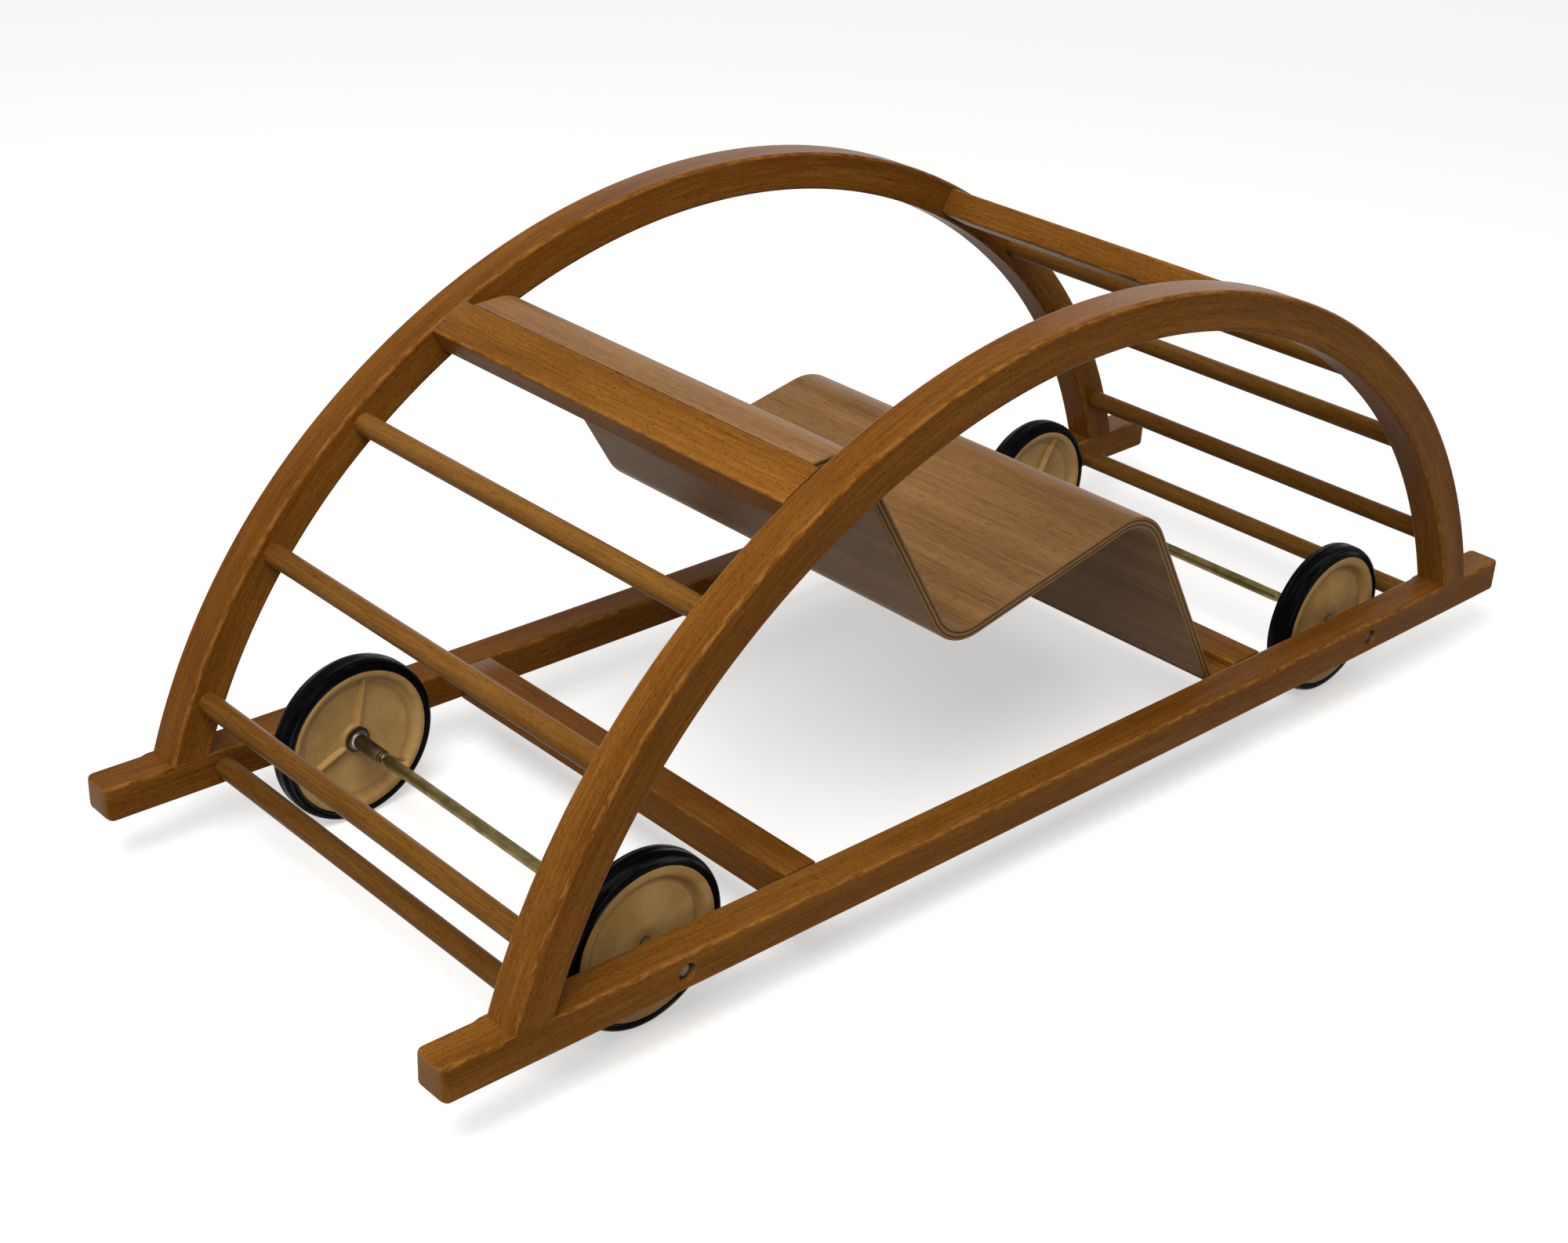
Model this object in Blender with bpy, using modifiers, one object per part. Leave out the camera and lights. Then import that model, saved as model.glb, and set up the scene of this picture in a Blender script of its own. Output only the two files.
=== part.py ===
"""Rocking cart: a bentwood push cart that is turned over to rock on its two arches.

Metres, +X is forward, +Y is the left side, +Z is up.
The origin is on the floor, under the middle of the cart as it stands on its wheels.
"""

import math

import bmesh
import bpy
from mathutils import Vector

# Rails
CART_WIDTH = 0.3805
RAIL_WIDTH = 0.026
RAIL_HEIGHT = 0.0245
RAIL_BEND_RADIUS = 40.0
RAIL_OVERHANG = 0.0485
RAIL_NOSE_RADIUS = 0.006

# Arches, with angles in degrees from the top of the crown
ARCH_HEIGHT = 0.3154
ARCH_DEPTH = 0.0264
CROWN_RADIUS = 0.4973
CROWN_ANGLE = 40.3
SHOULDER_RADIUS = 0.4248
SHOULDER_ANGLE = 71.7
EDGE_RADIUS = 0.0025

# Rungs
RUNG_DIAMETER = 0.0144
RUNG_SEAT_DEPTH = 0.016
UPPER_RUNG_ANGLE = 38.4
MIDDLE_RUNG_ANGLE = 51.9
LOWER_RUNG_ANGLE = 66.2
RAIL_RUNG_TO_FOOT = 0.0226

# Cross pieces
BOARD_ANGLE = 30.0
BOARD_WIDTH = 0.030
BOARD_LEDGE = 0.012
HANDLE_ANGLE = 26.8
HANDLE_WIDTH = 0.030
HANDLE_GRIP_RADIUS = 0.006
REAR_BAR_TO_AXLE = 0.1111
REAR_BAR_WIDTH = 0.025
FRONT_BAR_TO_AXLE = 0.1008
FRONT_BAR_WIDTH = 0.0293
FRONT_BAR_RABBET = 0.0062
FRONT_BAR_NOSE = 0.0015
FLAP_TO_RABBET_WALL = 0.017
DOWEL_DIAMETER = 0.008
DOWEL_LENGTH = 0.022

# Seat shell of moulded plywood, with slopes in degrees
PLY_THICKNESS = 0.008
PLY_EDGE_RADIUS = 0.0008
SEAT_SIDE_GAP = 0.0097
FLANGE_LENGTH = 0.0188
FLANGE_SLOPE = 3.5
TOP_BEND_RADIUS = 0.026
BACK_SLOPE = -58.4
BACK_LENGTH = 0.1428
LOW_BEND_RADIUS = 0.030
SEAT_SLOPE = 12.3
KNEE_BEND_RADIUS = 0.042
FLAP_SLOPE = -59.8

# Wheels
WHEEL_RADIUS = 0.0575
WHEEL_WIDTH = 0.018
TYRE_WALL = 0.007
TYRE_TONGUE = 0.0033
TYRE_SHOULDER = 0.0042
TONGUE_SHARE = 0.6
HUB_LIP = 0.0075
HUB_DISH_DEPTH = 0.0068
HUB_WEB = 0.003
HUB_BOSS_RADIUS = 0.0105
HUB_BOSS_HEIGHT = 0.0023
HUB_DISH_SLOPE = 0.0034
HUB_RIBS = 3
HUB_RIB_THICKNESS = 0.002
HUB_RIB_HEIGHT = 0.0042
HUB_GROOVE = 0.0015
WHEEL_TO_RAIL = 0.0082

# Axles and their fittings
AXLE_TO_FOOT = 0.1076
AXLE_DIAMETER = 0.008
AXLE_END = 0.0025
AXLE_EAR_REACH = 0.0015
AXLE_EAR_LENGTH = 0.005
SLEEVE_LENGTH = 0.028
SLEEVE_WALL = 0.0012
BUSH_WALL = 0.0016
BUSH_FLANGE_RADIUS = 0.009
BUSH_FLANGE = 0.0012
BUSH_COLLAR = 0.002
SPACER_RADIUS = 0.007
COUNTERBORE_DIAMETER = 0.0124
COUNTERBORE_DEPTH = 0.0055
CAP_WALL = 0.0009

# Gap between pieces that fit or seat together
GAP = 0.0003

# Places that follow from the sizes above
FRONT = 1
REAR = -1
LEFT = 1
RIGHT = -1
END_NAMES = {FRONT: "front", REAR: "rear"}
SIDE_NAMES = {LEFT: "left", RIGHT: "right"}
INNER_Y = CART_WIDTH / 2 - RAIL_WIDTH
RAIL_Y = CART_WIDTH / 2 - RAIL_WIDTH / 2
ARCH_RUNG_ANGLES = (UPPER_RUNG_ANGLE, MIDDLE_RUNG_ANGLE, LOWER_RUNG_ANGLE)


def quarter_turn(start):
    """Angles in degrees that round a corner, from a start on through a right angle."""
    return [start + 90 * step / 4 for step in range(5)]


def polar(centre, radius, angle):
    """Point on a circle in the X-Z plane, its angle in degrees from +Z towards +X."""
    turn = math.radians(angle)
    return Vector((centre[0] + radius * math.sin(turn), centre[1] + radius * math.cos(turn)))


def slope_vector(angle):
    """Unit vector in the X-Z plane that climbs at an angle from +X."""
    return Vector((math.cos(math.radians(angle)), math.sin(math.radians(angle))))


def shoulder_x(depth):
    """X of the shoulder's lower end, a depth below the outer face of the arch."""
    step = (CROWN_RADIUS - SHOULDER_RADIUS) * math.sin(math.radians(CROWN_ANGLE))
    return step + (SHOULDER_RADIUS - depth) * math.sin(math.radians(SHOULDER_ANGLE))


FOOT_X = shoulder_x(ARCH_DEPTH / 2)
AXLE_X = FOOT_X - AXLE_TO_FOOT
RAIL_RUNG_X = FOOT_X - RAIL_RUNG_TO_FOOT
HALF_RAIL = shoulder_x(0) + RAIL_OVERHANG


def rail_rise(x):
    """Height that the bend of the rails adds at a distance from their middle."""
    return x * x / (2 * RAIL_BEND_RADIUS)


def rail_middle(x):
    """Height of the middle of the rail section, which the axles pass through."""
    return WHEEL_RADIUS + rail_rise(x) - rail_rise(AXLE_X)


def rail_top(x):
    """Height of the rail's top face."""
    return rail_middle(x) + RAIL_HEIGHT / 2


REAR_BAR_X = REAR_BAR_TO_AXLE - AXLE_X
FRONT_BAR_FACE_X = AXLE_X - FRONT_BAR_TO_AXLE
FRONT_BAR_DOWEL_X = FRONT_BAR_FACE_X - FRONT_BAR_WIDTH / 2
RABBET_WALL_X = FRONT_BAR_FACE_X - FRONT_BAR_WIDTH
FLAP_FOOT_X = RABBET_WALL_X - FLAP_TO_RABBET_WALL
LEDGE_Z = rail_top(FLAP_FOOT_X) - FRONT_BAR_RABBET
CROWN_Z = rail_top(0) + ARCH_HEIGHT
CROWN_CENTRE = Vector((0, CROWN_Z - CROWN_RADIUS))
SHOULDER_CENTRE = polar(CROWN_CENTRE, CROWN_RADIUS - SHOULDER_RADIUS, CROWN_ANGLE)


def arch_point(angle, depth):
    """Point of the front half of the arch at an angle, a depth below its outer face."""
    if angle <= CROWN_ANGLE:
        return polar(CROWN_CENTRE, CROWN_RADIUS - depth, angle)
    return polar(SHOULDER_CENTRE, SHOULDER_RADIUS - depth, angle)


def clear_scene():
    """Remove what the scene holds."""
    for obj in list(bpy.data.objects):
        bpy.data.objects.remove(obj, do_unlink=True)


def new_collection(name):
    """Collection of that name, linked to the scene."""
    collection = bpy.data.collections.new(name)
    bpy.context.scene.collection.children.link(collection)
    return collection


def new_material(name, colour, roughness, metallic=0.0):
    """Principled material with one colour."""
    material = bpy.data.materials.new(name)
    material.use_nodes = True
    shader = material.node_tree.nodes["Principled BSDF"]
    shader.inputs["Base Color"].default_value = (*colour, 1)
    shader.inputs["Roughness"].default_value = roughness
    shader.inputs["Metallic"].default_value = metallic
    material.diffuse_color = (*colour, 1)
    return material


def place(name, mesh, material=None, location=(0, 0, 0), rotation=(0, 0, 0), parent=None):
    """Add a mesh to the cart as a named piece."""
    piece = bpy.data.objects.new(name, mesh)
    parts.objects.link(piece)
    piece.location = location
    piece.rotation_euler = rotation
    piece.parent = parent
    if material:
        mesh.materials.clear()
        mesh.materials.append(material)
    return piece


def outline_mesh(name, points, thickness):
    """Flat outline in the X-Z plane, made solid by an even thickness to each side along Y."""
    curve = bpy.data.curves.new(name, "CURVE")
    curve.dimensions = "2D"
    curve.fill_mode = "BOTH"
    curve.extrude = thickness / 2
    spline = curve.splines.new("POLY")
    spline.points.add(len(points) - 1)
    for spot, point in zip(spline.points, points):
        spot.co = (point[0], point[1], 0, 1)
    spline.use_cyclic_u = True
    guide = bpy.data.objects.new(name + "_outline", curve)
    cutters.objects.link(guide)
    guide.rotation_euler = (math.pi / 2, 0, 0)
    return curve_to_mesh(name, guide)


def curve_to_mesh(name, guide):
    """Welded mesh of a curve object in world space; the curve is removed."""
    bpy.context.view_layer.update()
    evaluated = guide.evaluated_get(bpy.context.evaluated_depsgraph_get())
    mesh = bpy.data.meshes.new_from_object(evaluated)
    mesh.name = name
    mesh.transform(guide.matrix_world)
    bpy.data.objects.remove(guide, do_unlink=True)
    shape = bmesh.new()
    shape.from_mesh(mesh)
    bmesh.ops.remove_doubles(shape, verts=shape.verts, dist=0.00001)
    bmesh.ops.dissolve_limit(
        shape, angle_limit=math.radians(0.05), verts=shape.verts, edges=shape.edges)
    bmesh.ops.recalc_face_normals(shape, faces=shape.faces)
    shape.to_mesh(mesh)
    shape.free()
    return mesh


def cylinder_mesh(name, radius, length, sides):
    """Cylinder along Z, centred on its origin."""
    mesh = bpy.data.meshes.new(name)
    shape = bmesh.new()
    bmesh.ops.create_cone(shape, cap_ends=True, segments=sides, radius1=radius,
                          radius2=radius, depth=length)
    shape.to_mesh(mesh)
    shape.free()
    return mesh


def box_mesh(name, size):
    """Box of the given size, centred on its origin."""
    mesh = bpy.data.meshes.new(name)
    shape = bmesh.new()
    bmesh.ops.create_cube(shape, size=1)
    bmesh.ops.scale(shape, vec=size, verts=shape.verts)
    shape.to_mesh(mesh)
    shape.free()
    return mesh


def add_cutter(name, mesh, location=(0, 0, 0), rotation=(0, 0, 0)):
    """Add a hidden solid that cuts or joins a piece."""
    cutter = bpy.data.objects.new(name, mesh)
    cutters.objects.link(cutter)
    cutter.location = location
    cutter.rotation_euler = rotation
    cutter.hide_render = True
    cutter.display_type = "WIRE"
    return cutter


def add_boolean(piece, tool, operation="DIFFERENCE"):
    """Cut, join or trim a piece by another solid."""
    modifier = piece.modifiers.new(tool.name, "BOOLEAN")
    modifier.operation = operation
    modifier.solver = "EXACT"
    modifier.object = tool


def add_bevel(piece, radius, segments=2):
    """Round the sharp edges of a piece."""
    modifier = piece.modifiers.new("Eased edges", "BEVEL")
    modifier.width = radius
    modifier.segments = segments
    modifier.limit_method = "ANGLE"
    modifier.angle_limit = math.radians(40)


def drill(piece, name, diameter, depth, mouth, direction):
    """Drill a hole from a mouth on a face, along a world direction."""
    way = Vector(direction).normalized()
    mesh = cylinder_mesh(name, diameter / 2, depth + 2 * EDGE_RADIUS, 12)
    centre = Vector(mouth) + way * (depth / 2 - EDGE_RADIUS)
    turn = Vector((0, 0, 1)).rotation_difference(way).to_euler()
    add_boolean(piece, add_cutter(name, mesh, centre, turn))


def turned_mesh(name, profile, closed):
    """Line of (radius, height) points, run down the outer side of a turned piece."""
    mesh = bpy.data.meshes.new(name)
    shape = bmesh.new()
    verts = [shape.verts.new((radius, 0, height)) for radius, height in profile]
    for first, second in zip(verts, verts[1:]):
        shape.edges.new((first, second))
    if closed:
        shape.edges.new((verts[-1], verts[0]))
    shape.to_mesh(mesh)
    shape.free()
    return mesh


def spin(piece, steps):
    """Turn a profile about its local Z axis."""
    modifier = piece.modifiers.new("Turned", "SCREW")
    modifier.steps = steps
    modifier.render_steps = steps
    modifier.use_merge_vertices = True
    modifier.merge_threshold = 0.00001
    modifier.use_smooth_shade = True


def smooth(piece):
    """Shade a mesh smooth with its sharp edges kept."""
    piece.data.shade_smooth()
    piece.data.set_sharp_from_angle(angle=math.radians(35))


def rail_mesh(name):
    """Side outline of a rail, bent a little upwards, with stock outside its plan."""
    half = RAIL_HEIGHT / 2
    nose = RAIL_NOSE_RADIUS
    reach = HALF_RAIL + GAP
    steps = 14
    ends = [reach - 2 * reach * step / steps for step in range(steps + 1)]
    line = [(x, half) for x in ends]
    for turn in reversed(quarter_turn(180)):
        line.append(tuple(polar((nose - reach, nose - half), nose, turn)))
    line += [(-x, -half) for x in ends if abs(x) < reach - nose]
    for turn in reversed(quarter_turn(90)):
        line.append(tuple(polar((reach - nose, nose - half), nose, turn)))
    bent = [(x, rail_middle(x) + height) for x, height in line]
    return outline_mesh(name, bent, 2 * RAIL_WIDTH)


def plan_trim_mesh(name):
    """Upright block whose plan gives the rail its rounded ends."""
    nose = RAIL_NOSE_RADIUS
    side = RAIL_WIDTH / 2
    corners = ((1, 1, 0), (1, -1, 90), (-1, -1, 180), (-1, 1, 270))
    plan = []
    for along, across, start in corners:
        centre = (along * (HALF_RAIL - nose), across * (side - nose))
        plan += [tuple(polar(centre, nose, turn)) for turn in quarter_turn(start)]
    mesh = outline_mesh(name, plan, 6 * RAIL_HEIGHT)
    for vert in mesh.vertices:
        x, y, z = vert.co
        vert.co = (x, z, -y)
    return mesh


def build_rail(side):
    """Rail with its blind holes for rungs, dowels and axle ends."""
    name = "rail_" + SIDE_NAMES[side]
    rail = place(name, rail_mesh(name), beech, (0, side * RAIL_Y, 0))
    trim = add_cutter(name + "_plan", plan_trim_mesh(name + "_plan"),
                      (0, side * RAIL_Y, WHEEL_RADIUS))
    add_boolean(rail, trim, "INTERSECT")
    add_bevel(rail, EDGE_RADIUS)
    inner = side * INNER_Y
    outer = side * CART_WIDTH / 2
    for end in (FRONT, REAR):
        label = f"{name}_{END_NAMES[end]}"
        axle = (end * AXLE_X, 0, WHEEL_RADIUS)
        drill(rail, label + "_axle_hole", AXLE_DIAMETER + 2 * GAP, RAIL_WIDTH,
              (axle[0], inner, axle[2]), (0, side, 0))
        drill(rail, label + "_counterbore", COUNTERBORE_DIAMETER, COUNTERBORE_DEPTH,
              (axle[0], outer, axle[2]), (0, -side, 0))
        rung_x = end * RAIL_RUNG_X
        drill(rail, label + "_rung_hole", RUNG_DIAMETER + 2 * GAP, RUNG_SEAT_DEPTH,
              (rung_x, inner, rail_middle(rung_x)), (0, side, 0))
        foot_x = end * FOOT_X
        drill(rail, label + "_foot_hole", DOWEL_DIAMETER + 2 * GAP, DOWEL_LENGTH / 2 + GAP,
              (foot_x, side * RAIL_Y, rail_top(foot_x)), (0, 0, -1))
    for label, x, z in (("rear_bar", REAR_BAR_X, rail_middle(REAR_BAR_X)),
                        ("front_bar", FRONT_BAR_DOWEL_X, rail_middle(FRONT_BAR_DOWEL_X))):
        drill(rail, f"{name}_{label}_hole", DOWEL_DIAMETER + 2 * GAP, DOWEL_LENGTH / 2 + GAP,
              (x, inner, z), (0, side, 0))
    return rail


def arch_half_line(depth):
    """Front half of the arch line, from the crown to below the rail's top."""
    crown_steps = 11
    shoulder_steps = 8
    bend = SHOULDER_ANGLE - CROWN_ANGLE
    line = [arch_point(CROWN_ANGLE * step / crown_steps, depth)
            for step in range(crown_steps + 1)]
    line += [arch_point(CROWN_ANGLE + bend * step / shoulder_steps, depth)
             for step in range(1, shoulder_steps + 1)]
    drop = line[-1].y - rail_top(FOOT_X) + RAIL_HEIGHT
    leg = slope_vector(-SHOULDER_ANGLE)
    line.append(line[-1] + leg * max(drop, RAIL_HEIGHT) / -leg.y)
    return line


def build_arch(side):
    """Bent arch, cut off square on the rail, with its blind holes."""
    name = "arch_" + SIDE_NAMES[side]
    outer = arch_half_line(0)
    inner = arch_half_line(ARCH_DEPTH)
    line = [(-point.x, point.y) for point in reversed(outer[1:])]
    line += [(point.x, point.y) for point in outer]
    line += [(point.x, point.y) for point in reversed(inner)]
    line += [(-point.x, point.y) for point in inner[1:]]
    arch = place(name, outline_mesh(name, line, RAIL_WIDTH), beech, (0, side * RAIL_Y, 0))
    add_bevel(arch, EDGE_RADIUS)
    inside = side * INNER_Y
    for end in (FRONT, REAR):
        label = f"{name}_{END_NAMES[end]}"
        foot_x = end * FOOT_X
        block = box_mesh(label + "_foot_trim", (8 * ARCH_DEPTH, 2 * RAIL_WIDTH, 4 * RAIL_HEIGHT))
        tilt = math.atan(foot_x / RAIL_BEND_RADIUS)
        add_boolean(arch, add_cutter(
            label + "_foot_trim", block,
            (foot_x, side * RAIL_Y, rail_top(foot_x) + GAP - 2 * RAIL_HEIGHT), (0, -tilt, 0)))
        drill(arch, label + "_foot_hole", DOWEL_DIAMETER + 2 * GAP, DOWEL_LENGTH / 2 + GAP,
              (foot_x, side * RAIL_Y, rail_top(foot_x)), (0, 0, 1))
        for number, angle in enumerate(ARCH_RUNG_ANGLES, 2):
            spot = arch_point(angle, ARCH_DEPTH / 2)
            drill(arch, f"{label}_rung_{number}_hole", RUNG_DIAMETER + 2 * GAP, RUNG_SEAT_DEPTH,
                  (end * spot.x, inside, spot.y), (0, side, 0))
    for label, spot in (("board", board_point(0, ARCH_DEPTH / 2)),
                        ("handle", handle_point(HANDLE_WIDTH / 2, ARCH_DEPTH / 2))):
        drill(arch, f"{name}_{label}_hole", DOWEL_DIAMETER + 2 * GAP, DOWEL_LENGTH / 2 + GAP,
              (spot.x, inside, spot.y), (0, side, 0))
    return arch


def build_rung(end, number, x, z):
    """Turned rung, glued into blind holes at both ends."""
    length = 2 * (INNER_Y + RUNG_SEAT_DEPTH - GAP)
    name = f"rung_{END_NAMES[end]}_{number}"
    mesh = cylinder_mesh(name, RUNG_DIAMETER / 2, length, 12)
    rung = place(name, mesh, rung_beech, (x, 0, z), (math.pi / 2, 0, 0))
    smooth(rung)
    return rung


def build_rungs():
    """Four rungs at each end: one between the rails and three up the arches."""
    for end in (FRONT, REAR):
        rail_x = end * RAIL_RUNG_X
        build_rung(end, 1, rail_x, rail_middle(rail_x))
        for number, angle in enumerate(ARCH_RUNG_ANGLES, 2):
            spot = arch_point(angle, ARCH_DEPTH / 2)
            build_rung(end, number, end * spot.x, spot.y)


def board_frame():
    """Corner, climb and inward directions of the backrest board, flush with the arches."""
    corner = arch_point(BOARD_ANGLE, 0)
    corner.x = -corner.x
    half_turn = math.degrees(BOARD_WIDTH / 2 / CROWN_RADIUS)
    climb = slope_vector(BOARD_ANGLE - half_turn)
    inward = Vector((climb.y, -climb.x))
    return corner, climb, inward


def board_point(along, depth):
    """Point of the board's section: along from its middle, depth from its outer face."""
    corner, climb, inward = board_frame()
    return corner + climb * (BOARD_WIDTH / 2 + along) + inward * depth


def handle_point(along, depth):
    """Point of the handle's section: along from its rear face, depth from its outer face."""
    start = arch_point(HANDLE_ANGLE, 0)
    half_turn = math.degrees(HANDLE_WIDTH / 2 / CROWN_RADIUS)
    fall = slope_vector(-(HANDLE_ANGLE + half_turn))
    inward = Vector((fall.y, -fall.x))
    return start + fall * along + inward * depth


def bar_piece(name, line, radius):
    """Straight cross piece between the two sides, with an outline in the X-Z plane."""
    mesh = outline_mesh(name, [tuple(point) for point in line], 2 * (INNER_Y - GAP))
    bar = place(name, mesh, beech)
    add_bevel(bar, radius)
    return bar


def drill_bar_ends(bar, spot, name):
    """Dowel hole in each end of a cross piece."""
    for side in (LEFT, RIGHT):
        drill(bar, f"{name}_{SIDE_NAMES[side]}_hole", DOWEL_DIAMETER + 2 * GAP,
              DOWEL_LENGTH / 2 + GAP, (spot[0], side * (INNER_Y - GAP), spot[1]), (0, -side, 0))


def build_backrest_board():
    """Board with a rabbet in which the top of the plywood lies flush."""
    upper = board_point(BOARD_WIDTH / 2, 0)
    flange = slope_vector(FLANGE_SLOPE)
    wall = Vector((flange.y, -flange.x))
    foot = upper + wall * (PLY_THICKNESS + GAP)
    ledge = foot + flange * BOARD_LEDGE
    inward = board_frame()[2]
    reach = ARCH_DEPTH - (ledge - upper).dot(inward)
    line = [board_point(-BOARD_WIDTH / 2, 0), upper, foot, ledge, ledge + inward * reach,
            board_point(-BOARD_WIDTH / 2, ARCH_DEPTH)]
    board = bar_piece("backrest_board", line, EDGE_RADIUS / 2)
    drill_bar_ends(board, board_point(0, ARCH_DEPTH / 2), "backrest_board")


def build_handle():
    """Grip bar flush with the arches, well rounded on its inner side."""
    grip = HANDLE_GRIP_RADIUS
    line = [handle_point(0, 0), handle_point(HANDLE_WIDTH, 0)]
    for along, start in ((HANDLE_WIDTH - grip, 90), (grip, 180)):
        for degrees in quarter_turn(start):
            turn = math.radians(degrees)
            line.append(handle_point(along + grip * math.sin(turn),
                                     ARCH_DEPTH - grip - grip * math.cos(turn)))
    handle = bar_piece("handle_bar", line, EDGE_RADIUS)
    drill_bar_ends(handle, handle_point(HANDLE_WIDTH / 2, ARCH_DEPTH / 2), "handle_bar")


def bend_points(start, slope, turn, radius, steps):
    """Arc that leaves a point at a slope and turns by an angle, positive to the left."""
    hand = math.copysign(1, turn)
    heading = slope_vector(slope)
    centre = start + Vector((-heading.y, heading.x)) * radius * hand
    arm = start - centre
    points = []
    for step in range(1, steps + 1):
        angle = math.radians(turn * step / steps)
        cosine = math.cos(angle)
        sine = math.sin(angle)
        points.append(centre + Vector((arm.x * cosine - arm.y * sine,
                                       arm.x * sine + arm.y * cosine)))
    return points


def seat_line(flat_length):
    """Upper side of the plywood, with a flat seat of that length, down to the flap's head."""
    flange = slope_vector(FLANGE_SLOPE)
    start = board_point(BOARD_WIDTH / 2, 0) + flange * GAP
    line = [start, start + flange * FLANGE_LENGTH]
    line += bend_points(line[-1], FLANGE_SLOPE, BACK_SLOPE - FLANGE_SLOPE, TOP_BEND_RADIUS, 9)
    line.append(line[-1] + slope_vector(BACK_SLOPE) * BACK_LENGTH)
    line += bend_points(line[-1], BACK_SLOPE, SEAT_SLOPE - BACK_SLOPE, LOW_BEND_RADIUS, 9)
    line.append(line[-1] + slope_vector(SEAT_SLOPE) * flat_length)
    line += bend_points(line[-1], SEAT_SLOPE, FLAP_SLOPE - SEAT_SLOPE, KNEE_BEND_RADIUS, 11)
    return line


def seat_length():
    """Length of the flat seat that brings the flap down on its place on the ledge."""
    head = seat_line(0)[-1]
    fall = math.tan(math.radians(FLAP_SLOPE))
    missing = FLAP_FOOT_X - head.x - (LEDGE_Z - head.y) / fall
    seat = slope_vector(SEAT_SLOPE)
    return missing / (seat.x - seat.y / fall)


def build_seat_shell():
    """Moulded plywood seat: an open strip given its thickness, trimmed on the ledge."""
    line = seat_line(seat_length())
    line.append(line[-1] + slope_vector(FLAP_SLOPE) * (line[-1].y - LEDGE_Z + RAIL_HEIGHT))
    half_width = INNER_Y - SEAT_SIDE_GAP
    mesh = bpy.data.meshes.new("seat_shell")
    shape = bmesh.new()
    row = [shape.verts.new((point.x, -half_width, point.y)) for point in line]
    edges = [shape.edges.new(pair) for pair in zip(row, row[1:])]
    swept = bmesh.ops.extrude_edge_only(shape, edges=edges)
    moved = [item for item in swept["geom"] if isinstance(item, bmesh.types.BMVert)]
    bmesh.ops.translate(shape, vec=(0, 2 * half_width, 0), verts=moved)
    bmesh.ops.recalc_face_normals(shape, faces=shape.faces)
    shape.faces.ensure_lookup_table()
    if shape.faces[0].normal.z < 0:
        bmesh.ops.reverse_faces(shape, faces=shape.faces)
    shape.to_mesh(mesh)
    shape.free()
    seat = place("seat_shell", mesh, plywood)
    solid = seat.modifiers.new("Plies", "SOLIDIFY")
    solid.thickness = PLY_THICKNESS
    solid.offset = -1
    solid.use_even_offset = True
    add_bevel(seat, PLY_EDGE_RADIUS, 1)
    trim = box_mesh("flap_trim", (4 * RAIL_HEIGHT, CART_WIDTH, 4 * RAIL_HEIGHT))
    trim_centre = (FLAP_FOOT_X, 0, LEDGE_Z + GAP - 2 * RAIL_HEIGHT)
    add_boolean(seat, add_cutter("flap_trim", trim, trim_centre))
    smooth(seat)


def build_rear_bar():
    """Plain bar between the rails, behind the seat."""
    name = "rear_crossbar"
    middle = rail_middle(REAR_BAR_X)
    mesh = box_mesh(name, (REAR_BAR_WIDTH, 2 * (INNER_Y - GAP), RAIL_HEIGHT))
    bar = place(name, mesh, beech, (REAR_BAR_X, 0, middle))
    add_bevel(bar, EDGE_RADIUS / 2)
    drill_bar_ends(bar, (REAR_BAR_X, middle), name)


def build_front_bar():
    """Bar with a rabbet, on whose ledge the plywood flap stands."""
    top = rail_top(RABBET_WALL_X)
    bottom = top - RAIL_HEIGHT
    nose_x = FLAP_FOOT_X - PLY_THICKNESS
    line = [Vector((FRONT_BAR_FACE_X, top)), Vector((FRONT_BAR_FACE_X, bottom)),
            Vector((RABBET_WALL_X, bottom)), Vector((nose_x, LEDGE_Z - FRONT_BAR_NOSE)),
            Vector((nose_x, LEDGE_Z)), Vector((RABBET_WALL_X, LEDGE_Z)),
            Vector((RABBET_WALL_X, top))]
    bar = bar_piece("front_crossbar", line, FRONT_BAR_NOSE / 4)
    drill_bar_ends(bar, (FRONT_BAR_DOWEL_X, rail_middle(FRONT_BAR_DOWEL_X)), "front_crossbar")


def build_dowel(name, location, upright):
    """Glued beech dowel, half in each of the two pieces that it joins."""
    mesh = cylinder_mesh(name, DOWEL_DIAMETER / 2, DOWEL_LENGTH, 8)
    turn = (0, 0, 0) if upright else (math.pi / 2, 0, 0)
    smooth(place(name, mesh, rung_beech, location, turn))


def build_dowels():
    """Dowels under the arch feet and in the ends of the cross pieces."""
    joints = (("board", board_point(0, ARCH_DEPTH / 2)),
              ("handle", handle_point(HANDLE_WIDTH / 2, ARCH_DEPTH / 2)),
              ("rear_crossbar", Vector((REAR_BAR_X, rail_middle(REAR_BAR_X)))),
              ("front_crossbar", Vector((FRONT_BAR_DOWEL_X, rail_middle(FRONT_BAR_DOWEL_X)))))
    for side in (LEFT, RIGHT):
        for end in (FRONT, REAR):
            foot_x = end * FOOT_X
            build_dowel(f"dowel_foot_{END_NAMES[end]}_{SIDE_NAMES[side]}",
                        (foot_x, side * RAIL_Y, rail_top(foot_x) + GAP / 2), True)
        for label, spot in joints:
            build_dowel(f"dowel_{label}_{SIDE_NAMES[side]}",
                        (spot.x, side * (INNER_Y - GAP / 2), spot.y), False)


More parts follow.
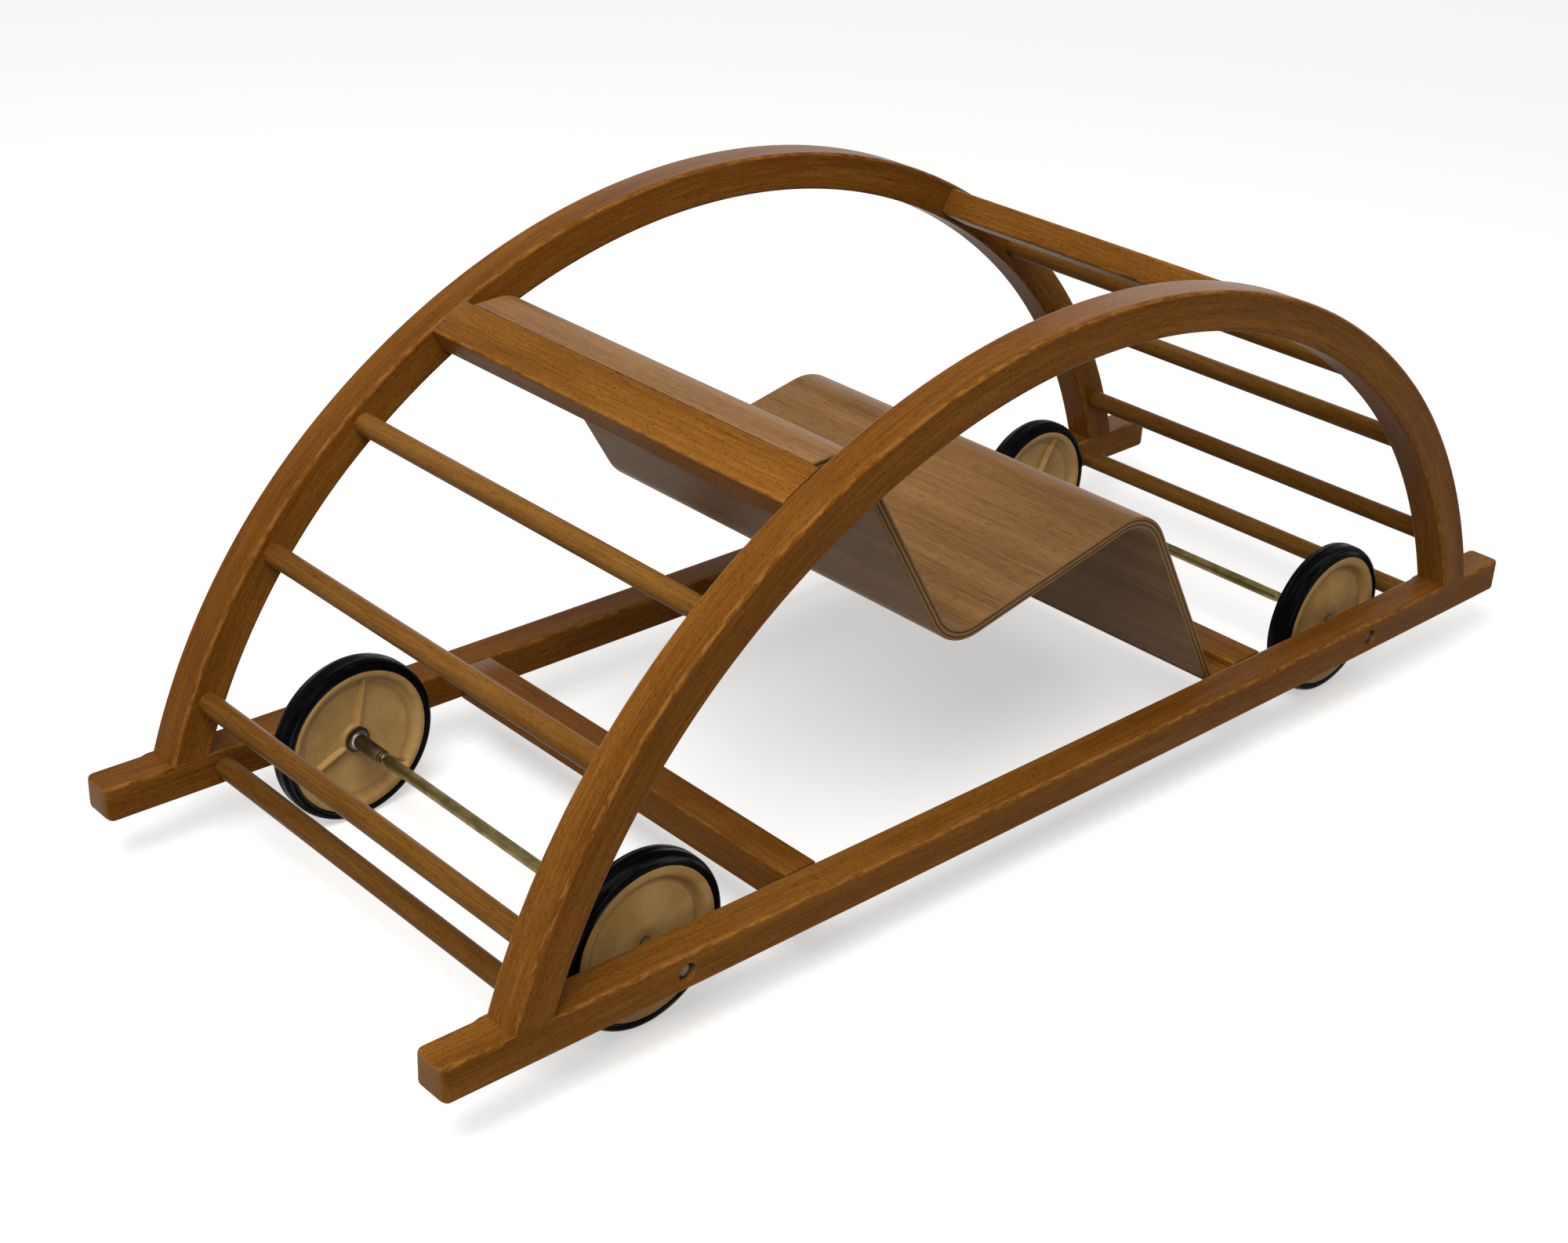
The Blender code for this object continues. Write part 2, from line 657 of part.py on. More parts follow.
def tyre_profile():
    """Section of the rubber tyre, with a tongue that sits in the hub's channel."""
    half = WHEEL_WIDTH / 2
    shoulder = TYRE_SHOULDER
    seat = WHEEL_RADIUS - TYRE_WALL + GAP
    tongue = seat - TYRE_TONGUE
    outer = []
    for turn in (0, 45, 90):
        arm = math.radians(turn)
        outer.append((WHEEL_RADIUS - shoulder + shoulder * math.sin(arm),
                      half - shoulder + shoulder * math.cos(arm)))
    lower = [(radius, -height) for radius, height in reversed(outer)]
    inner = [(seat, -half), (tongue, -half * TONGUE_SHARE),
             (tongue, half * TONGUE_SHARE), (seat, half)]
    return outer + lower + inner


def hub_profile():
    """Section of the hub: channel outside, dish inboard, grooved disc outboard."""
    half = WHEEL_WIDTH / 2
    rim = WHEEL_RADIUS - TYRE_WALL
    channel = rim - TYRE_TONGUE
    lip = rim - HUB_LIP
    web_low = HUB_DISH_DEPTH - half
    web_high = web_low + HUB_WEB
    bore = bush_radius() + GAP
    boss_low = boss_face()
    fall = HUB_DISH_SLOPE
    outside = [(rim, half), (channel, half * TONGUE_SHARE),
               (channel, -half * TONGUE_SHARE), (rim, -half)]
    inboard = [(lip, -half), (lip - fall / 2, web_low - fall), (lip - 2 * fall, web_low),
               (HUB_BOSS_RADIUS, web_low), (HUB_BOSS_RADIUS, boss_low), (bore, boss_low)]
    outboard = [(bore, half), (HUB_BOSS_RADIUS, half), (HUB_BOSS_RADIUS, web_high),
                (lip - HUB_GROOVE - fall, web_high), (lip - fall, web_high - HUB_GROOVE / 2),
                (lip, half)]
    return outside + inboard + outboard


def bush_radius():
    """Outer radius of the bush's barrel."""
    return AXLE_DIAMETER / 2 + GAP + BUSH_WALL


def boss_face():
    """Height of the hub's inboard boss face above the wheel's middle, negative inboard."""
    return HUB_DISH_DEPTH - HUB_BOSS_HEIGHT - WHEEL_WIDTH / 2


def build_hub(name, wheel, side):
    """Moulded hub with ribs in its inboard dish, one of them upright."""
    hub = place(name, turned_mesh(name, hub_profile(), True), hub_plastic, (0, 0, 0),
                (-side * math.pi / 2, 0, 0), wheel)
    spin(hub, 28)
    web_low = HUB_DISH_DEPTH - WHEEL_WIDTH / 2
    reach = WHEEL_RADIUS - TYRE_WALL - HUB_LIP
    inner = HUB_BOSS_RADIUS - HUB_RIB_THICKNESS / 2
    rib_depth = HUB_RIB_HEIGHT + HUB_WEB / 2
    for number in range(HUB_RIBS):
        angle = math.radians(360 / HUB_RIBS * number - side * 90)
        middle = (inner + reach) / 2
        rib = box_mesh(f"{name}_rib_{number}", (reach - inner, HUB_RIB_THICKNESS, rib_depth))
        cutter = add_cutter(f"{name}_rib_{number}", rib)
        cutter.parent = hub
        cutter.location = (middle * math.cos(angle), middle * math.sin(angle),
                           web_low + HUB_WEB / 2 - rib_depth / 2)
        cutter.rotation_euler = (0, 0, angle)
        add_boolean(hub, cutter, "UNION")


def bush_profile():
    """Section of the steel bush: barrel in the hub, flange and rounded collar inboard."""
    bore = AXLE_DIAMETER / 2 + GAP
    barrel = bush_radius()
    top = WHEEL_WIDTH / 2 - GAP
    seat = boss_face() - GAP
    flange = seat - BUSH_FLANGE
    end = flange - BUSH_COLLAR
    return [(barrel, top), (barrel, seat), (BUSH_FLANGE_RADIUS, seat),
            (BUSH_FLANGE_RADIUS - BUSH_FLANGE / 3, flange), (barrel, flange),
            (bore + BUSH_WALL / 3, end), (bore, end), (bore, top)]


def bush_end():
    """Height of the bush's inboard end, negative inboard."""
    return boss_face() - GAP - BUSH_FLANGE - BUSH_COLLAR


def tube_profile(inner, outer, low, high):
    """Section of a plain tube."""
    return [(outer, high), (outer, low), (inner, low), (inner, high)]


def build_wheel(end, side):
    """Wheel that turns freely on its axle: hub, tyre and bush."""
    label = f"{END_NAMES[end]}_{SIDE_NAMES[side]}"
    centre_y = side * wheel_middle()
    wheel = bpy.data.objects.new("wheel_" + label, None)
    parts.objects.link(wheel)
    wheel.location = (end * AXLE_X, centre_y, WHEEL_RADIUS)
    turn = (-side * math.pi / 2, 0, 0)
    build_hub("hub_" + label, wheel, side)
    tyre = place("tyre_" + label, turned_mesh("tyre_" + label, tyre_profile(), True),
                 rubber, (0, 0, 0), turn, wheel)
    spin(tyre, 32)
    bush = place("bush_" + label, turned_mesh("bush_" + label, bush_profile(), True),
                 dark_steel, (0, 0, 0), turn, wheel)
    spin(bush, 12)


def wheel_middle():
    """Distance of a wheel's middle plane from the middle of the cart."""
    return INNER_Y - WHEEL_TO_RAIL - WHEEL_WIDTH / 2


def build_axle_fittings(end, side):
    """Spacer between wheel and rail, sleeve inboard of the wheel, and cap on the axle's end."""
    label = f"{END_NAMES[end]}_{SIDE_NAMES[side]}"
    turn = (-side * math.pi / 2, 0, 0)
    spot = (end * AXLE_X, side * wheel_middle(), WHEEL_RADIUS)
    bore = AXLE_DIAMETER / 2 + GAP
    high = WHEEL_WIDTH / 2 + WHEEL_TO_RAIL - GAP
    spacer = tube_profile(bore, SPACER_RADIUS, WHEEL_WIDTH / 2 + GAP, high)
    sleeve = tube_profile(bore, bore + SLEEVE_WALL, sleeve_end() + GAP, bush_end() - GAP)
    floor = WHEEL_WIDTH / 2 + WHEEL_TO_RAIL + RAIL_WIDTH - COUNTERBORE_DEPTH + GAP
    crown = floor + AXLE_END + CAP_WALL
    cap = [(0, crown), (bore / 2, crown - CAP_WALL / 3), (bore + CAP_WALL, crown - CAP_WALL),
           (bore + CAP_WALL, floor), (bore, floor), (bore, floor + AXLE_END),
           (0, floor + AXLE_END)]
    for name, line, closed in (("spacer_", spacer, True), ("sleeve_", sleeve, True),
                               ("axle_cap_", cap, False)):
        piece = place(name + label, turned_mesh(name + label, line, closed), bright_steel,
                      spot, turn)
        spin(piece, 12)


def sleeve_end():
    """Height of the sleeve's inboard end from the wheel's middle, negative inboard."""
    return bush_end() - SLEEVE_LENGTH


def build_axle(end):
    """Steel rod, pinched into small ears that hold the sleeves against the wheels."""
    name = "axle_" + END_NAMES[end]
    half = INNER_Y + RAIL_WIDTH - COUNTERBORE_DEPTH + AXLE_END - GAP
    mesh = cylinder_mesh(name, AXLE_DIAMETER / 2, 2 * half, 12)
    axle = place(name, mesh, brass_steel, (end * AXLE_X, 0, WHEEL_RADIUS), (math.pi / 2, 0, 0))
    ear_y = wheel_middle() + sleeve_end() - AXLE_EAR_LENGTH / 2
    for side in (LEFT, RIGHT):
        label = f"{name}_ears_{SIDE_NAMES[side]}"
        size = (AXLE_DIAMETER + 2 * AXLE_EAR_REACH, AXLE_EAR_LENGTH, AXLE_DIAMETER / 4)
        ears = add_cutter(label, box_mesh(label, size), (end * AXLE_X, side * ear_y, WHEEL_RADIUS))
        add_boolean(axle, ears, "UNION")
    smooth(axle)


clear_scene()
parts = new_collection("rocking_cart")
cutters = new_collection("cutters")
beech = new_material("Varnished beech", (0.36, 0.155, 0.045), 0.38)
rung_beech = new_material("Turned beech", (0.40, 0.185, 0.06), 0.42)
plywood = new_material("Moulded plywood", (0.42, 0.21, 0.11), 0.4)
hub_plastic = new_material("Cream plastic", (0.72, 0.50, 0.24), 0.35)
rubber = new_material("Black rubber", (0.008, 0.009, 0.014), 0.42)
dark_steel = new_material("Dark steel", (0.10, 0.08, 0.07), 0.4, 0.9)
bright_steel = new_material("Zinc plated steel", (0.45, 0.42, 0.36), 0.35, 1.0)
brass_steel = new_material("Yellowed plated steel", (0.42, 0.36, 0.20), 0.32, 1.0)

for cart_side in (LEFT, RIGHT):
    build_rail(cart_side)
    build_arch(cart_side)
build_rungs()
build_backrest_board()
build_handle()
build_rear_bar()
build_front_bar()
build_seat_shell()
build_dowels()
for cart_end in (FRONT, REAR):
    build_axle(cart_end)
    for cart_side in (LEFT, RIGHT):
        build_wheel(cart_end, cart_side)
        build_axle_fittings(cart_end, cart_side)
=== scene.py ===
"""Rocking cart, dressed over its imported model.

Metres, +X is forward, +Y is the left side, +Z is up, with the floor at zero.
Each section makes one group of the cart's pieces, in the order in which it is put together.
"""

import math

import bpy
import numpy as np
from mathutils import Matrix, Vector


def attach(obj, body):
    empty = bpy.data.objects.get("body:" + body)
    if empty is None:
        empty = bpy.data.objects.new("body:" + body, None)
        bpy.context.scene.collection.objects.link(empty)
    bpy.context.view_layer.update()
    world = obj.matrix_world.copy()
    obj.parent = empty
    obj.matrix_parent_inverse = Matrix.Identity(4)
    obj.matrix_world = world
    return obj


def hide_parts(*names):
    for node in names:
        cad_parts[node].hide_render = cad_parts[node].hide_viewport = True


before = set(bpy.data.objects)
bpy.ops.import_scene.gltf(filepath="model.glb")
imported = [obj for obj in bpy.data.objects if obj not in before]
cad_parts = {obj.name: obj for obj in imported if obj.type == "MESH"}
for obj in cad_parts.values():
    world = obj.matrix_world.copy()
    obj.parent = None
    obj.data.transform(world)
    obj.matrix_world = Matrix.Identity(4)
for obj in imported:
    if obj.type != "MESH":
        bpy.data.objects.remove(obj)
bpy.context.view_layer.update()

# The view: the photograph was taken from behind the cart, off its right side and a little
# above it, with a long lens.
view_place = (-1.06241, -1.01636, 0.8533)
view_azimuth = math.radians(-43.871)
view_elevation = math.radians(27.318)
view_roll = math.radians(2.813)
camera = bpy.data.objects.new("camera", bpy.data.cameras.new("camera"))
bpy.context.scene.collection.objects.link(camera)
camera.data.lens = 54.66
camera.data.sensor_width = 36
camera.matrix_world = (Matrix.Translation(view_place)
                       @ Matrix.Rotation(view_azimuth, 4, "Z")
                       @ Matrix.Rotation(math.pi / 2 - view_elevation, 4, "X")
                       @ Matrix.Rotation(view_roll, 4, "Z"))
bpy.context.scene.camera = camera
bpy.context.scene.view_settings.view_transform = "Standard"


# The studio: a plain pale floor under a soft even sky, and one broad lamp from behind the
# cart, a little to its right. The floor looks white, but throws back less light than it shows.
def add_node(tree, kind, inputs=None, **settings):
    """Shader node with its settings, its sockets filled with values or linked to other sockets."""
    made = tree.nodes.new("ShaderNode" + kind)
    for key, value in settings.items():
        setattr(made, key, value)
    for socket, value in (inputs or {}).items():
        if isinstance(value, bpy.types.NodeSocket):
            tree.links.new(value, made.inputs[socket])
        else:
            made.inputs[socket].default_value = value
    return made


def new_finish(name):
    """Empty material, its node tree and its output node."""
    material = bpy.data.materials.new(name)
    material.use_nodes = True
    tree = material.node_tree
    tree.nodes.clear()
    return material, tree, tree.nodes.new("ShaderNodeOutputMaterial")


def stretched(tree, value, low, high, least, most):
    """A value stretched from low..high to least..most, and held at both ends."""
    return add_node(tree, "MapRange", {"Value": value, "From Min": low, "From Max": high,
                                       "To Min": least, "To Max": most}).outputs[0]


def covered(tree, share, under, over):
    """One colour covered by another in a share from 0 to 1; each is a link or plain RGB."""
    layers = [(*colour, 1) if isinstance(colour, tuple) else colour for colour in (under, over)]
    return add_node(tree, "Mix", {0: share, 6: layers[0], 7: layers[1]},
                    data_type="RGBA").outputs[2]


def drawn_noise(tree, place, scale, detail, roughness=0.5):
    """Noise drawn out by scaling the three axes of a place differently."""
    spot = add_node(tree, "VectorMath", {0: place, 1: scale}, operation="MULTIPLY")
    return add_node(tree, "TexNoise", {"Vector": spot.outputs[0], "Scale": 1.0,
                                       "Detail": detail, "Roughness": roughness}).outputs[0]


def seen_directly(tree):
    """One for rays that show the surface to the eye, straight, mirrored or through glass."""
    path = add_node(tree, "LightPath").outputs
    either = add_node(tree, "Math", {0: path["Is Camera Ray"], 1: path["Is Glossy Ray"]},
                      operation="MAXIMUM").outputs[0]
    return add_node(tree, "Math", {0: either, 1: path["Is Transmission Ray"]},
                    operation="MAXIMUM").outputs[0]


floor_finish, tree, output = new_finish("studio_floor")
lit = add_node(tree, "BsdfDiffuse", {"Color": (0.90, 0.90, 0.90, 1)})
glow = add_node(tree, "Emission", {"Color": (1, 1, 1, 1), "Strength": 0.47})
pale = add_node(tree, "AddShader", {0: lit.outputs[0], 1: glow.outputs[0]})
dim = add_node(tree, "BsdfDiffuse", {"Color": (0.26, 0.25, 0.24, 1)})
shown = add_node(tree, "MixShader", {0: seen_directly(tree), 1: dim.outputs[0],
                                     2: pale.outputs[0]})
tree.links.new(shown.outputs[0], output.inputs["Surface"])
floor_mesh = bpy.data.meshes.new("studio_floor")
floor_reach = 30
floor_corners = [(-1, -1, 0), (1, -1, 0), (1, 1, 0), (-1, 1, 0)]
floor_mesh.from_pydata([Vector(corner) * floor_reach for corner in floor_corners], [],
                       [(0, 1, 2, 3)])
floor_mesh.materials.append(floor_finish)
floor = bpy.data.objects.new("studio_floor", floor_mesh)
bpy.context.scene.collection.objects.link(floor)

world = bpy.data.worlds.new("studio")
bpy.context.scene.world = world
world.use_nodes = True
tree = world.node_tree
tree.nodes.clear()
sky = add_node(tree, "Background", {"Color": (1, 0.99, 0.98, 1), "Strength": 0.44})
white = add_node(tree, "Background", {"Color": (1, 1, 1, 1), "Strength": 1.0})
shown = add_node(tree, "MixShader", {0: seen_directly(tree), 1: sky.outputs[0],
                                     2: white.outputs[0]})
output = tree.nodes.new("ShaderNodeOutputWorld")
tree.links.new(shown.outputs[0], output.inputs["Surface"])

lamp = bpy.data.objects.new("lamp", bpy.data.lights.new("lamp", "AREA"))
bpy.context.scene.collection.objects.link(lamp)
lamp.data.shape = "DISK"
lamp.data.size = 1.2
lamp.data.energy = 30
lamp.data.color = (1.0, 0.985, 0.96)
lamp_place = Vector((-1.00, -0.62, 1.66))
lamp_target = Vector((0, 0, 0.10))
lamp_turn = (lamp_target - lamp_place).to_track_quat("-Z", "Y").to_matrix().to_4x4()
lamp.matrix_world = Matrix.Translation(lamp_place) @ lamp_turn


# The rails: two straight beech slats that stand on the axles, sprung up a little at the ends,
# with rounded noses. A hole on the outside hides the end of each axle.
cart_half_width = 0.19025
arch_top = 0.383788
slat_width = 0.026
rail_y = cart_half_width - slat_width / 2
inner_y = cart_half_width - slat_width
rail_height = 0.0245
rail_bend = 40.0
rail_half_length = 0.498708
rail_nose = 0.006
axle_x = 0.330076
axle_z = 0.0575
foot_x = axle_x + 0.1076
foot_reach = 0.0225
foot_fade = 0.0045
glue_gap = 0.0003
edge_radius = 0.0025
sharp_angle = math.radians(38)
hole_radius = 0.0062
hole_depth = 0.0055
log_step = np.array([1.37, 0.211, 0.173])


def rail_middle(x):
    """Height of the middle of the rail: the axle's height plus the rise of a wide circle."""
    return axle_z + (x * x - axle_x * axle_x) / (2 * rail_bend)


def eased_outline(corners, radii, steps=5, hold=0.0006):
    """Outline of a slat with rounded corners.

    Each corner is replaced by an arc that touches both sides: its centre lies on the corner's
    bisector at radius over the sine of half the corner's angle, and its points turn evenly from
    one touching point to the other. A point beside each end of the arc keeps the flat side flat.
    Gives the points, and how near each one lies to the middle of an arc, from 0 to 1.
    """
    corners = np.array(corners, float)
    radii = np.broadcast_to(np.array(radii, float), len(corners))[:, None]
    back = np.roll(corners, 1, 0) - corners
    ahead = np.roll(corners, -1, 0) - corners
    back /= np.linalg.norm(back, axis=1, keepdims=True)
    ahead /= np.linalg.norm(ahead, axis=1, keepdims=True)
    half = np.arccos(np.clip((back * ahead).sum(1), -1, 1))[:, None] / 2
    bisector = (back + ahead) / np.linalg.norm(back + ahead, axis=1, keepdims=True)
    centre = corners + bisector * radii / np.sin(half)
    start = corners + back * radii / np.tan(half)
    end = corners + ahead * radii / np.tan(half)
    turn = (np.pi - 2 * half)[:, None, :]
    share = np.linspace(0, 1, steps + 1)[None, :, None]
    arc = (centre[:, None, :]
           + (np.sin((1 - share) * turn) * (start - centre)[:, None, :]
              + np.sin(share * turn) * (end - centre)[:, None, :]) / np.sin(turn))
    points = np.concatenate([(start + back * hold)[:, None, :], arc,
                             (end + ahead * hold)[:, None, :]], 1)
    nearness = np.concatenate([[0], (4 * share * (1 - share)).ravel(), [0]])
    return points.reshape(-1, 2), np.tile(nearness, len(corners))


def slat_section(width, depth, radius, steps=5):
    """Eased rectangle, across and through, centred on zero."""
    half = np.array([width, depth]) / 2
    return eased_outline(half * [(-1, 1), (1, 1), (1, -1), (-1, -1)], radius, steps)


def closed_mesh(name, points, quads, tris):
    """Mesh from whole arrays, with its faces to the outside.

    If the faces' signed volume, a sum of a . (b x c) / 6 over their triangles, is negative, all
    faces are turned over.
    """
    split = np.concatenate([tris, quads[:, [0, 1, 2]], quads[:, [0, 2, 3]]])
    a, b, c = points[split[:, 0]], points[split[:, 1]], points[split[:, 2]]
    if (a * np.cross(b, c)).sum() < 0:
        quads = quads[:, ::-1]
        tris = tris[:, ::-1]
    mesh = bpy.data.meshes.new(name)
    mesh.from_pydata(points.tolist(), [], quads.tolist() + tris.tolist())
    return mesh


def add_piece(name, shape, finish, body, stands_for, layers=None):
    """Piece shaded smooth between its sharp edges, riding on a body of the cart.

    The shape is a skin, and the piece takes the place of one node of the model.
    """
    mesh = closed_mesh(name, *shape)
    mesh.materials.append(finish)
    for label, values in (layers or {}).items():
        kind, field = ("FLOAT_VECTOR", "vector") if values.ndim == 2 else ("FLOAT", "value")
        layer = mesh.attributes.new(label, kind, "POINT")
        layer.data.foreach_set(field, values.astype(np.float32).ravel())
    mesh.shade_smooth()
    mesh.set_sharp_from_angle(angle=sharp_angle)
    piece = bpy.data.objects.new(name, mesh)
    bpy.context.scene.collection.objects.link(piece)
    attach(piece, body)
    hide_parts(stands_for)
    return piece


def skin(rings, joined=False):
    """Points, quads and triangles of a closed skin over an (n, m, 3) grid of points.

    Ring i is joined to ring i + 1, and each ring closes on itself. The end rings are joined to
    each other, or each is closed by a fan to its mean point, which is added to the points.
    """
    n, m = rings.shape[:2]
    row, column = np.meshgrid(np.arange(n if joined else n - 1), np.arange(m), indexing="ij")
    here = row * m + column
    beside = row * m + (column + 1) % m
    up = (row + 1) % n * m
    quads = np.stack([here, beside, up + (column + 1) % m, up + column], -1).reshape(-1, 4)
    points = rings.reshape(-1, 3)
    if joined:
        return points, quads, np.empty((0, 3), int)
    points = np.concatenate([points, rings[:1].mean(1), rings[-1:].mean(1)])
    turn = np.arange(m)
    after = (turn + 1) % m
    first = np.stack([np.full(m, n * m), after, turn], -1)
    last = np.stack([np.full(m, n * m + 1), (n - 1) * m + turn, (n - 1) * m + after], -1)
    return points, quads, np.concatenate([first, last])


def with_ends(values):
    """A per-point layer over the grid, with the mean values for the two middle points added."""
    flat = values.reshape(-1, values.shape[-1]) if values.ndim == 3 else values.ravel()
    return np.concatenate([flat, values[:1].mean(1), values[-1:].mean(1)])


def wood_layers(along, section, nearness, seed):
    """Where each point lies in the straight, unbent plank, and how worn its edge is.

    The plank is cut from its own place in the log, which the seed moves along all three axes.
    Edge is 1 on the middle of an eased edge and 0 on the flat faces.
    """
    n, m = len(along), len(section)
    plank = np.empty((n, m, 3))
    plank[:, :, 0] = along.reshape(n, -1)
    plank[:, :, 1:] = section[None]
    plank += log_step * seed
    edge = np.broadcast_to(nearness[None, :], (n, m))
    return {"plank": with_ends(plank), "edge": with_ends(edge.copy())}


def varnish_sheen(tree, least, most):
    """Specular level of old varnish: dull when seen square on, and shiny at a grazing angle,
    sooner on the faces that look up."""
    facing = add_node(tree, "LayerWeight").outputs["Facing"]
    normal = add_node(tree, "TexCoord").outputs["Normal"]
    up = add_node(tree, "SeparateXYZ", {0: normal}).outputs[2]
    grazing = add_node(tree, "Math", {0: up, 1: 0.18, 2: facing},
                       operation="MULTIPLY_ADD").outputs[0]
    return add_node(tree, "MapRange", {"Value": grazing, "From Min": 0.70, "From Max": 0.98,
                                       "To Min": least, "To Max": most},
                    interpolation_type="SMOOTHSTEP").outputs[0]


def summed(tree, shares):
    """Sum of several noises, each multiplied by its share."""
    total = 0.0
    for value, share in shares:
        total = add_node(tree, "Math", {0: value, 1: share, 2: total},
                         operation="MULTIPLY_ADD").outputs[0]
    return total


def beech_finish(name, pale, middle, deep, flecks=0.6, worn_edges=0.35, end_grain=False):
    """Varnished beech from the plank's own place: broad tone, fine fibres, small dark flecks.

    Noise is drawn out along the fibres by scaling the plank's three axes differently. Edges
    take a paler tone in dashes where the varnish has worn.
    """
    material, tree, output = new_finish(name)
    plank = add_node(tree, "Attribute", attribute_name="plank").outputs["Vector"]
    edge = add_node(tree, "Attribute", attribute_name="edge").outputs["Fac"]
    broad = drawn_noise(tree, plank, (2.6, 46, 46), 3)
    fibre = drawn_noise(tree, plank, (26, 620, 620), 4, 0.7)
    cloud = drawn_noise(tree, plank, (9, 14, 14), 2)
    tone = summed(tree, ((broad, 0.45), (fibre, 0.50), (cloud, 0.15)))
    ramp = add_node(tree, "ValToRGB", {0: tone})
    ramp.color_ramp.elements[0].position = 0.40
    ramp.color_ramp.elements[0].color = (*deep, 1)
    ramp.color_ramp.elements[1].position = 0.68
    ramp.color_ramp.elements[1].color = (*pale, 1)
    ramp.color_ramp.elements.new(0.54).color = (*middle, 1)
    pore = drawn_noise(tree, plank, (330, 1700, 1700), 1.5)
    speck = stretched(tree, pore, 0.58, 0.68, 0.0, flecks)
    dark = tuple(value * 0.25 for value in deep)
    coloured = covered(tree, speck, ramp.outputs[0], dark)
    chafe = drawn_noise(tree, plank, (110, 420, 420), 3)
    worn = stretched(tree, chafe, 0.44, 0.56, 0.0, worn_edges)
    worn = add_node(tree, "Math", {0: worn, 1: edge}, operation="MULTIPLY").outputs[0]
    bare = tuple(value * 1.7 + 0.02 for value in pale)
    coloured = covered(tree, worn, coloured, bare)
    if end_grain:
        facing = add_node(tree, "SeparateXYZ", {0: add_node(tree, "TexCoord").outputs["Normal"]})
        sawn = add_node(tree, "Math", {0: facing.outputs[0]}, operation="ABSOLUTE").outputs[0]
        sawn = stretched(tree, sawn, 0.62, 0.90, 0.0, 0.75)
        coloured = covered(tree, sawn, coloured, (0.225, 0.118, 0.048))
    rough = stretched(tree, cloud, 0.3, 0.7, 0.36, 0.50)
    relief = add_node(tree, "Math", {0: speck, 1: -0.6, 2: fibre},
                      operation="MULTIPLY_ADD").outputs[0]
    bump = add_node(tree, "Bump", {"Height": relief, "Strength": 0.35, "Distance": 0.00012})
    shader = add_node(tree, "BsdfPrincipled", {
        "Base Color": coloured, "Roughness": rough, "Normal": bump.outputs[0],
        "Specular IOR Level": varnish_sheen(tree, 0.03, 0.42)})
    tree.links.new(shader.outputs[0], output.inputs["Surface"])
    return material


slat_tones = (0.255, 0.103, 0.0170), (0.180, 0.066, 0.0085), (0.120, 0.039, 0.0035)
slat_finish = beech_finish("varnished_beech", *slat_tones)
rail_finish = beech_finish("varnished_beech_rail", *slat_tones, end_grain=True)

nose_steps = np.linspace(0, 1, 9)
nose_run = rail_half_length - rail_nose + rail_nose * np.sin(nose_steps * np.pi / 2)
rail_x = np.unique(np.concatenate([
    -nose_run, np.linspace(-1, 1, 41)[1:-1] * nose_run[0], nose_run,
    foot_x + np.linspace(-1, 1, 11) * foot_reach, -foot_x - np.linspace(-1, 1, 11) * foot_reach]))
beyond = np.clip(np.abs(rail_x) - (rail_half_length - rail_nose), 0, rail_nose)
pulled_in = rail_nose - np.sqrt(np.maximum(rail_nose ** 2 - beyond ** 2, 0))
top_ease = 0.003
beyond_top = np.clip(np.abs(rail_x) - (rail_half_length - top_ease), 0, top_ease)
top_pulled_in = top_ease - np.sqrt(np.maximum(top_ease ** 2 - beyond_top ** 2, 0))
rail_section, rail_edge = slat_section(slat_width, rail_height, edge_radius)
foot_section = slat_section(slat_width, rail_height, 0.0004)[0]
seated = np.clip((foot_reach - np.abs(np.abs(rail_x) - foot_x)) / foot_fade, 0, 1)[:, None]
seated = seated * (rail_section[None, :, 1] > 0)
across = rail_section[:, 0] * (1 - seated) + foot_section[:, 0] * seated
through = rail_section[:, 1] * (1 - seated) + foot_section[:, 1] * seated
across = across - np.sign(across) * pulled_in[:, None]
through = through + np.where(through < 0, pulled_in[:, None], -top_pulled_in[:, None])


def bore_rail(rail, side):
    """Cut the two outside holes with round cutters: a ring of points at each end of the hole."""
    turn = np.linspace(0, 2 * np.pi, 40, endpoint=False)
    for end in (-1, 1):
        rings = np.empty((2, 40, 3))
        rings[:, :, 0] = end * axle_x + hole_radius * np.cos(turn)
        rings[:, :, 2] = axle_z + hole_radius * np.sin(turn)
        rings[:, :, 1] = side * (cart_half_width + np.array([[-hole_depth], [0.004]]))
        drill = bpy.data.objects.new("hole", closed_mesh("hole", *skin(rings)))
        bpy.context.scene.collection.objects.link(drill)
        cut = rail.modifiers.new("hole", "BOOLEAN")
        cut.operation = "DIFFERENCE"
        cut.solver = "EXACT"
        cut.object = drill
        bpy.context.view_layer.update()
        cut_rail = rail.evaluated_get(bpy.context.evaluated_depsgraph_get())
        shaped = bpy.data.meshes.new_from_object(cut_rail)
        shaped.set_sharp_from_angle(angle=sharp_angle)
        rail.modifiers.clear()
        rail.data = shaped
        bpy.data.objects.remove(drill)
    place = np.empty(len(shaped.vertices) * 3)
    shaped.vertices.foreach_get("co", place)
    place = place.reshape(-1, 3)
    plank = place + log_step * side - [0, side * rail_y, axle_z]
    shaped.attributes["plank"].data.foreach_set("vector", plank.astype(np.float32).ravel())


